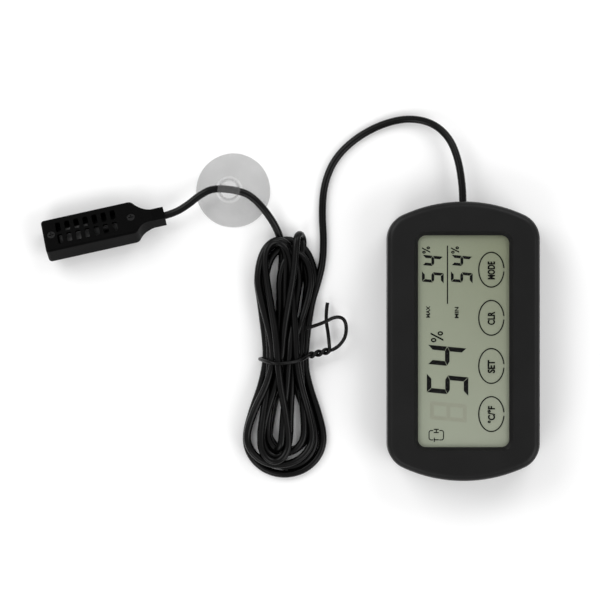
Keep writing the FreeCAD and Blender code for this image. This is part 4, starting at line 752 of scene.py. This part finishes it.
def soften(piece, angle):
    """Smooth shading, kept sharp at edges steeper than the angle."""
    piece.data.shade_smooth()
    piece.data.set_sharp_from_angle(angle=math.radians(angle))


def cross_drill():
    """A round bar through the knob, along the lead."""
    bore_middle = Matrix.Translation((KNOB_AT.x, KNOB_AT.y, BORE_HEIGHT * MM))
    turn = bore_middle @ Matrix.Rotation(CUP_HEADING, 4, "Z") @ Matrix.Rotation(math.pi / 2, 4, "Y")
    shape = bmesh.new()
    bmesh.ops.create_cone(shape, cap_ends=True, segments=32, radius1=BORE_RADIUS * MM,
                          radius2=BORE_RADIUS * MM, depth=DRILL_LENGTH * MM, matrix=turn)
    mesh = bpy.data.meshes.new("cup_drill")
    shape.to_mesh(mesh)
    shape.free()
    drill = bpy.data.objects.new("cup_drill", mesh)
    bpy.context.scene.collection.objects.link(drill)
    return drill


drill = cross_drill()
cup = turned("clear_suction_cup", dish_profile, CUP_AT, wave=0.006)
carve(cup, ("UNION", turned("cup_knob", knob_profile, KNOB_AT, steps=64)), ("DIFFERENCE", drill))
soften(cup, 40)
cup.data.materials.clear()
cup.data.materials.append(cup_clear)
settle(cup, "suction_cup", "cup_clear", "suction_cup")
print("cup", len(cup.data.polygons), "faces")

# %% [markdown]
# The display reads along the case, so a figure's top points to the left side. Every mark is a thin flat
# solid, laid out in its own reading direction (along, up) and then turned into place. A thin sheet on the
# polariser carries the colour of the screen, the segments lie just above it, and the touch keys are
# printed on the underside of the clear panel.

# %% Marks on the display
MARK_THICKNESS = 0.03
FACE_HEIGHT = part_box("lcd_front_polariser")[1].z / MM + 0.005
LIT_HEIGHT = FACE_HEIGHT + 1.5 * MARK_THICKNESS
KEY_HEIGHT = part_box("touch_panel")[0].z / MM - MARK_THICKNESS
LEAN = math.tan(math.radians(5.5))


class Marks:
    """Flat marks of one piece. A mark's points are (along, up) from a place (right, low) on the display."""

    def __init__(self, height):
        self.height = height
        self.shape = bmesh.new()

    def polygon(self, right, low, outline):
        """Adds a flat solid with this outline: along runs up the display, up points to its left side."""
        levels = (self.height, self.height + MARK_THICKNESS)
        rings = [[self.shape.verts.new(mm(right - up, low + along, level)) for along, up in outline]
                 for level in levels]
        self.shape.faces.new(rings[0][::-1])
        self.shape.faces.new(rings[1])
        for index in range(len(outline)):
            after = (index + 1) % len(outline)
            self.shape.faces.new((rings[0][index], rings[0][after], rings[1][after], rings[1][index]))

    def bar(self, right, low, along, up):
        """A straight bar with sharp corners."""
        self.polygon(right, low, [(0, 0), (along, 0), (along, up), (0, up)])

    def text(self, words, left, right, low, top):
        """Lettering stretched to fill a place on the display."""
        letters = bpy.data.curves.new("letters", "FONT")
        letters.body = words
        letters.extrude = 0.01
        letters.offset = 0.034
        letters.resolution_u = 4
        source = bpy.data.objects.new("letters", letters)
        bpy.context.scene.collection.objects.link(source)
        evaluated = source.evaluated_get(bpy.context.evaluated_depsgraph_get())
        mesh = bpy.data.meshes.new_from_object(evaluated)
        bpy.data.objects.remove(source)
        spread = [[vertex.co[axis] for vertex in mesh.vertices] for axis in range(3)]
        starts = [min(values) for values in spread]
        sizes = [max(values) - min(values) for values in spread]
        for vertex in mesh.vertices:
            along, up, out = ((vertex.co[axis] - starts[axis]) / sizes[axis] for axis in range(3))
            vertex.co = mm(right - (right - left) * up, low + (top - low) * along,
                           self.height + MARK_THICKNESS * out)
        self.shape.from_mesh(mesh)
        bpy.data.meshes.remove(mesh)

    def piece(self, name, material):
        """The finished piece, as one mesh."""
        bmesh.ops.remove_doubles(self.shape, verts=self.shape.verts, dist=0.000001)
        bmesh.ops.recalc_face_normals(self.shape, faces=self.shape.faces)
        mesh = bpy.data.meshes.new(name)
        self.shape.to_mesh(mesh)
        self.shape.free()
        mesh.materials.append(material)
        made = bpy.data.objects.new(name, mesh)
        bpy.context.scene.collection.objects.link(made)
        print(name, len(mesh.polygons), "faces")
        return made


# %% [markdown]
# A figure is drawn from up to seven bars with slanted ends that nearly meet. The percent signs and the
# touch keys are made from rings.

# %% Seven-segment figures
LIT_SEGMENTS = {"4": "fgbc", "5": "afgcd", "8": "abcdefg"}
SEGMENT_GAP = 0.12


def segment_outlines(width, height, stroke):
    """The seven segments of a figure, by letter, as mitred bars with a thin gap between them."""
    half, middle, gap = stroke / 2, height / 2, SEGMENT_GAP

    def flat(level, inward):
        return [(gap, level), (width - gap, level), (width - stroke - gap, level + inward),
                (stroke + gap, level + inward)]

    def upright(edge, inward, bottom, top):
        low_cut = stroke if bottom == 0 else half
        high_cut = stroke if top == height else half
        return [(edge, bottom + gap), (edge + inward, bottom + low_cut + gap),
                (edge + inward, top - high_cut - gap), (edge, top - gap)]

    return {
        "a": flat(height, -stroke),
        "d": flat(0, stroke),
        "g": [(gap + 0.1, middle), (stroke, middle + half), (width - stroke, middle + half),
              (width - gap - 0.1, middle), (width - stroke, middle - half), (stroke, middle - half)],
        "f": upright(0, stroke, middle, height),
        "b": upright(width, -stroke, middle, height),
        "e": upright(0, stroke, 0, middle),
        "c": upright(width, -stroke, 0, middle),
    }


def figure(marks, digit, left, right, low, top, stroke):
    """A leaning seven-segment figure that fills a place on the display."""
    height = right - left
    width = top - low - height * LEAN
    outlines = segment_outlines(width, height, stroke)
    for letter in LIT_SEGMENTS[digit]:
        marks.polygon(right, low, [(along + up * LEAN, up) for along, up in outlines[letter]])


def percent(marks, left, right, low, top):
    """A percent sign in strokes: two small rings and a slanted bar."""
    height, width = right - left, top - low
    stroke = height * 0.09 + 0.25
    marks.polygon(right, low, [(width * 0.12, 0), (width * 0.12 + stroke, 0), (width * 0.88, height),
                               (width * 0.88 - stroke, height)])
    for centre_along, centre_up in ((width * 0.2, height * 0.76), (width * 0.8, height * 0.24)):
        ring(marks, right - centre_up, low + centre_along, width * 0.2, height * 0.22, stroke * 0.8)


def ring(marks, x, y, half_along, half_up, stroke, start=0.0, sweep=math.tau, steps=24):
    """An oval line, whole or in part, made of short joined bars."""
    for step in range(steps):
        corners = []
        for share, scale in ((0, 0), (1, 0), (1, 1), (0, 1)):
            angle = start + sweep * (step + share) / steps
            along = (half_along - stroke * scale) * math.cos(angle)
            corners.append((along, (half_up - stroke * scale) * math.sin(angle)))
        marks.polygon(x, y, corners)


# %% The screen and its segments
# A place is left, right, low and top. A bar is right, low, its length along the screen and its height.
SHEET_BAR = (17.6, -40.4, 80.8, 35.2)
DIVIDING_BAR = (-5.75, 13.95, 21.75, 0.45)
figures = (
    ("4", -13.3, 1.2, -9.9, -1.3, 1.7), ("5", -13.7, 1.8, -20.5, -12.0, 1.7),
    ("4", -15.3, -7.6, 27.7, 32.3, 1.05), ("5", -15.5, -7.4, 21.5, 26.2, 1.05),
    ("4", -4.5, 3.3, 27.7, 32.3, 1.05), ("5", -4.7, 3.4, 21.5, 26.2, 1.05),
)
percents = ((-12.3, -7.5, -0.4, 3.75), (-15.5, -12.4, 32.7, 35.4), (-4.7, -1.6, 32.7, 35.4))
words = (
    ("MAX", -13.95, -12.45, 8.8, 13.2), ("MIN", -3.3, -1.8, 8.6, 12.8),
    ("H", -11.1, -9.2, -34.3, -32.7), ("T", -11.1, -9.2, -37.6, -36.0),
)
ICON_AT = (-10.15, -35.1)
ICON_UP, ICON_ALONG, ICON_CORNER, ICON_LINE, ICON_GAP = 2.9, 1.95, 1.0, 0.38, 1.15
CORNER_START = {(1, 1): 0, (-1, 1): 1, (-1, -1): 2, (1, -1): 3}


def broken_frame(marks):
    """The rounded frame of the sensor icon, open where its two letters stand."""
    x, y = ICON_AT
    straight = ICON_ALONG - ICON_CORNER
    stub = ICON_UP - ICON_CORNER - ICON_GAP
    for side in (1, -1):
        edge = ICON_UP * side - (ICON_LINE if side > 0 else 0)
        marks.bar(x - edge, y - straight, straight * 2, ICON_LINE)
        for end in (1, -1):
            ring(marks, x - side * (ICON_UP - ICON_CORNER), y + end * straight, ICON_CORNER, ICON_CORNER,
                 ICON_LINE, CORNER_START[end, side] * math.pi / 2, math.pi / 2, 6)
            across = x - (ICON_GAP if side > 0 else -ICON_GAP - stub)
            level = y + ICON_ALONG * end - (ICON_LINE if end > 0 else 0)
            marks.bar(across, level, ICON_LINE, stub)


face = Marks(FACE_HEIGHT)
face.bar(*SHEET_BAR)
settle(face.piece("display_sheet", display_face), "thermometer", "lcd_glass")

lit = Marks(LIT_HEIGHT)
for shown in figures:
    figure(lit, *shown)
for place in percents:
    percent(lit, *place)
lit.bar(*DIVIDING_BAR)
for label in words:
    lit.text(*label)
broken_frame(lit)
settle(lit.piece("lit_segments", segment_black), "thermometer", "lcd_glass")

ghost = Marks(LIT_HEIGHT)
figure(ghost, "8", -12.5, 1.2, -30.4, -22.3, 1.45)
settle(ghost.piece("unlit_segments", segment_ghost), "thermometer", "lcd_glass")

keys = Marks(KEY_HEIGHT)
KEY_WORD_LEFT, KEY_WORD_RIGHT = 9.0, 11.8
key_words = (("MODE", 23.1, 29.8), ("CLR", 6.1, 11.1), ("SET", -11.9, -7.0), ("°C/°F", -30.6, -24.2))
for word, low_end, top_end in key_words:
    keys.text(word, KEY_WORD_LEFT, KEY_WORD_RIGHT, low_end, top_end)
settle(keys.piece("key_words", key_ink), "thermometer", "clear_panel")

# %% [markdown]
# Each touch key is marked by a thin oval line with a small gap at its right. One tree draws it and
# repeats it along the screen.

# %% The rings round the four touch keys
KEY_X, KEY_Y, KEY_PITCH = 10.4, -27.2, 17.97
rings = Tree("touch_key_rings", Half_Width="Float", Half_Length="Float", Line="Float", Gap="Float",
             Count="Int", Pitch="Float", Thickness="Float", Material="Material")
sweep_left = rings.node("ShaderNodeMath", {"operation": "SUBTRACT"}, i0=math.tau, i1=rings.inputs["Gap"])
half_gap = rings.node("ShaderNodeMath", {"operation": "DIVIDE"}, i0=rings.inputs["Gap"], i1=2.0)
oval = rings.node("GeometryNodeCurveArc", Resolution=72, Radius=1.0, Start_Angle=half_gap,
                  Sweep_Angle=sweep_left)
stretch = rings.node("ShaderNodeCombineXYZ", X=rings.inputs["Half_Width"],
                     Y=rings.inputs["Half_Length"], Z=1.0)
stretched = rings.node("GeometryNodeTransform", Geometry=oval, Scale=stretch)
line = rings.node("GeometryNodeCurvePrimitiveQuadrilateral", Width=rings.inputs["Line"],
                  Height=rings.inputs["Thickness"])
inked = rings.node("GeometryNodeCurveToMesh", Curve=stretched, Profile_Curve=line, Fill_Caps=True)
next_key = rings.node("ShaderNodeCombineXYZ", Y=rings.inputs["Pitch"])
column = rings.node("GeometryNodeMeshLine", Count=rings.inputs["Count"], Offset=next_key)
placed = rings.node("GeometryNodeInstanceOnPoints", Points=column, Instance=inked)
rings_tree = rings.finish(placed)
key_rings = grow("key_rings", rings_tree, seed_points("ring_seed"), Half_Width=4.7 * MM, Half_Length=6.5 * MM,
                 Line=0.42 * MM, Gap=0.2, Count=4, Pitch=KEY_PITCH * MM, Thickness=MARK_THICKNESS * MM,
                 Material=key_ink)
key_rings.data.transform(Matrix.Translation(mm(KEY_X, KEY_Y, KEY_HEIGHT + MARK_THICKNESS / 2)))
settle(key_rings, "thermometer", "clear_panel")

# %% [markdown]
# Where a lead comes up through the main board it is soldered: a shiny cone of metal round each hole.

# %% Solder joints on the main board
joints = Tree("solder_joints", Foot="Float", Tip="Float", Height="Float", Material="Material")
cone = joints.node("GeometryNodeMeshCone", Vertices=20, Side_Segments=3, Radius_Top=joints.inputs["Tip"],
                   Radius_Bottom=joints.inputs["Foot"], Depth=joints.inputs["Height"])
cones = joints.node("GeometryNodeInstanceOnPoints", Points=joints.inputs["Geometry"], Instance=cone)
joints_tree = joints.finish(joints.node("GeometryNodeSetShadeSmooth", Geometry=cones))
board_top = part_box("main_pcb")[1].z / MM
FIRST_LANDING, LANDING_PITCH, LANDING_LINE = 4.0, 2.2, 35
landings = [(1.5, 34.6, board_top), (1.5, 32.0, board_top)]
landings += [(FIRST_LANDING + LANDING_PITCH * place, LANDING_LINE, board_top) for place in range(4)]
dots = grow("solder_joints", joints_tree, seed_points("solder_seed", landings), Foot=0.8 * MM, Tip=0.25 * MM,
            Height=0.6 * MM, Material=solder)
settle(dots, "thermometer", "contact_steel")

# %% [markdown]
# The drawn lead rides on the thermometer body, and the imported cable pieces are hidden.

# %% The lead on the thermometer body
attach(lead, "thermometer")
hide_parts("cable_display_end", "cable_hank", "cable_probe_end")

# %% [markdown]
# The table is a plain pale sheet. The light is a white studio sky with four soft boxes round the table,
# the two larger ones at the upper left and the lower right. Light from all sides keeps the shadows faint,
# and no soft box stands overhead, so the black plastic stays dark.

# %% Table and light
table_mesh = bpy.data.meshes.new("table_top")
sheet = bmesh.new()
bmesh.ops.create_grid(sheet, x_segments=1, y_segments=1, size=1.5)
sheet.to_mesh(table_mesh)
sheet.free()
table = bpy.data.objects.new("table_top", table_mesh)
bpy.context.scene.collection.objects.link(table)
table_paint = Paint("table_white", grey(250), Specular_IOR_Level=0.1)
table_paint.set("Roughness", table_paint.noise(30.0) * 0.1 + 0.8)
table_mesh.materials.append(table_paint.material)

sky = bpy.data.worlds.new("studio_sky")
bpy.context.scene.world = sky
sky.use_nodes = True
sky.node_tree.nodes["Background"].inputs["Color"].default_value = (1, 1, 1, 1)
sky.node_tree.nodes["Background"].inputs["Strength"].default_value = 0.5


def soft_box(name, place, width, watts):
    """A square soft box that faces the thermometer."""
    light = bpy.data.lights.new(name, "AREA")
    light.size = width
    light.energy = watts
    box = bpy.data.objects.new(name, light)
    box.location = place
    box.rotation_euler = (Vector((*VIEW_CENTRE, 0)) - Vector(place)).to_track_quat("-Z", "Y").to_euler()
    bpy.context.scene.collection.objects.link(box)


soft_box("window_light", (-1.1, 0.9, 1.1), 1.2, 13)
soft_box("fill_light", (1.2, -0.7, 1.2), 1.2, 12)
soft_box("top_light", (0.7, 1.3, 1.2), 1.0, 8)
soft_box("low_light", (-0.8, -1.2, 1.2), 1.0, 8)
bpy.context.scene.view_settings.view_transform = "Standard"
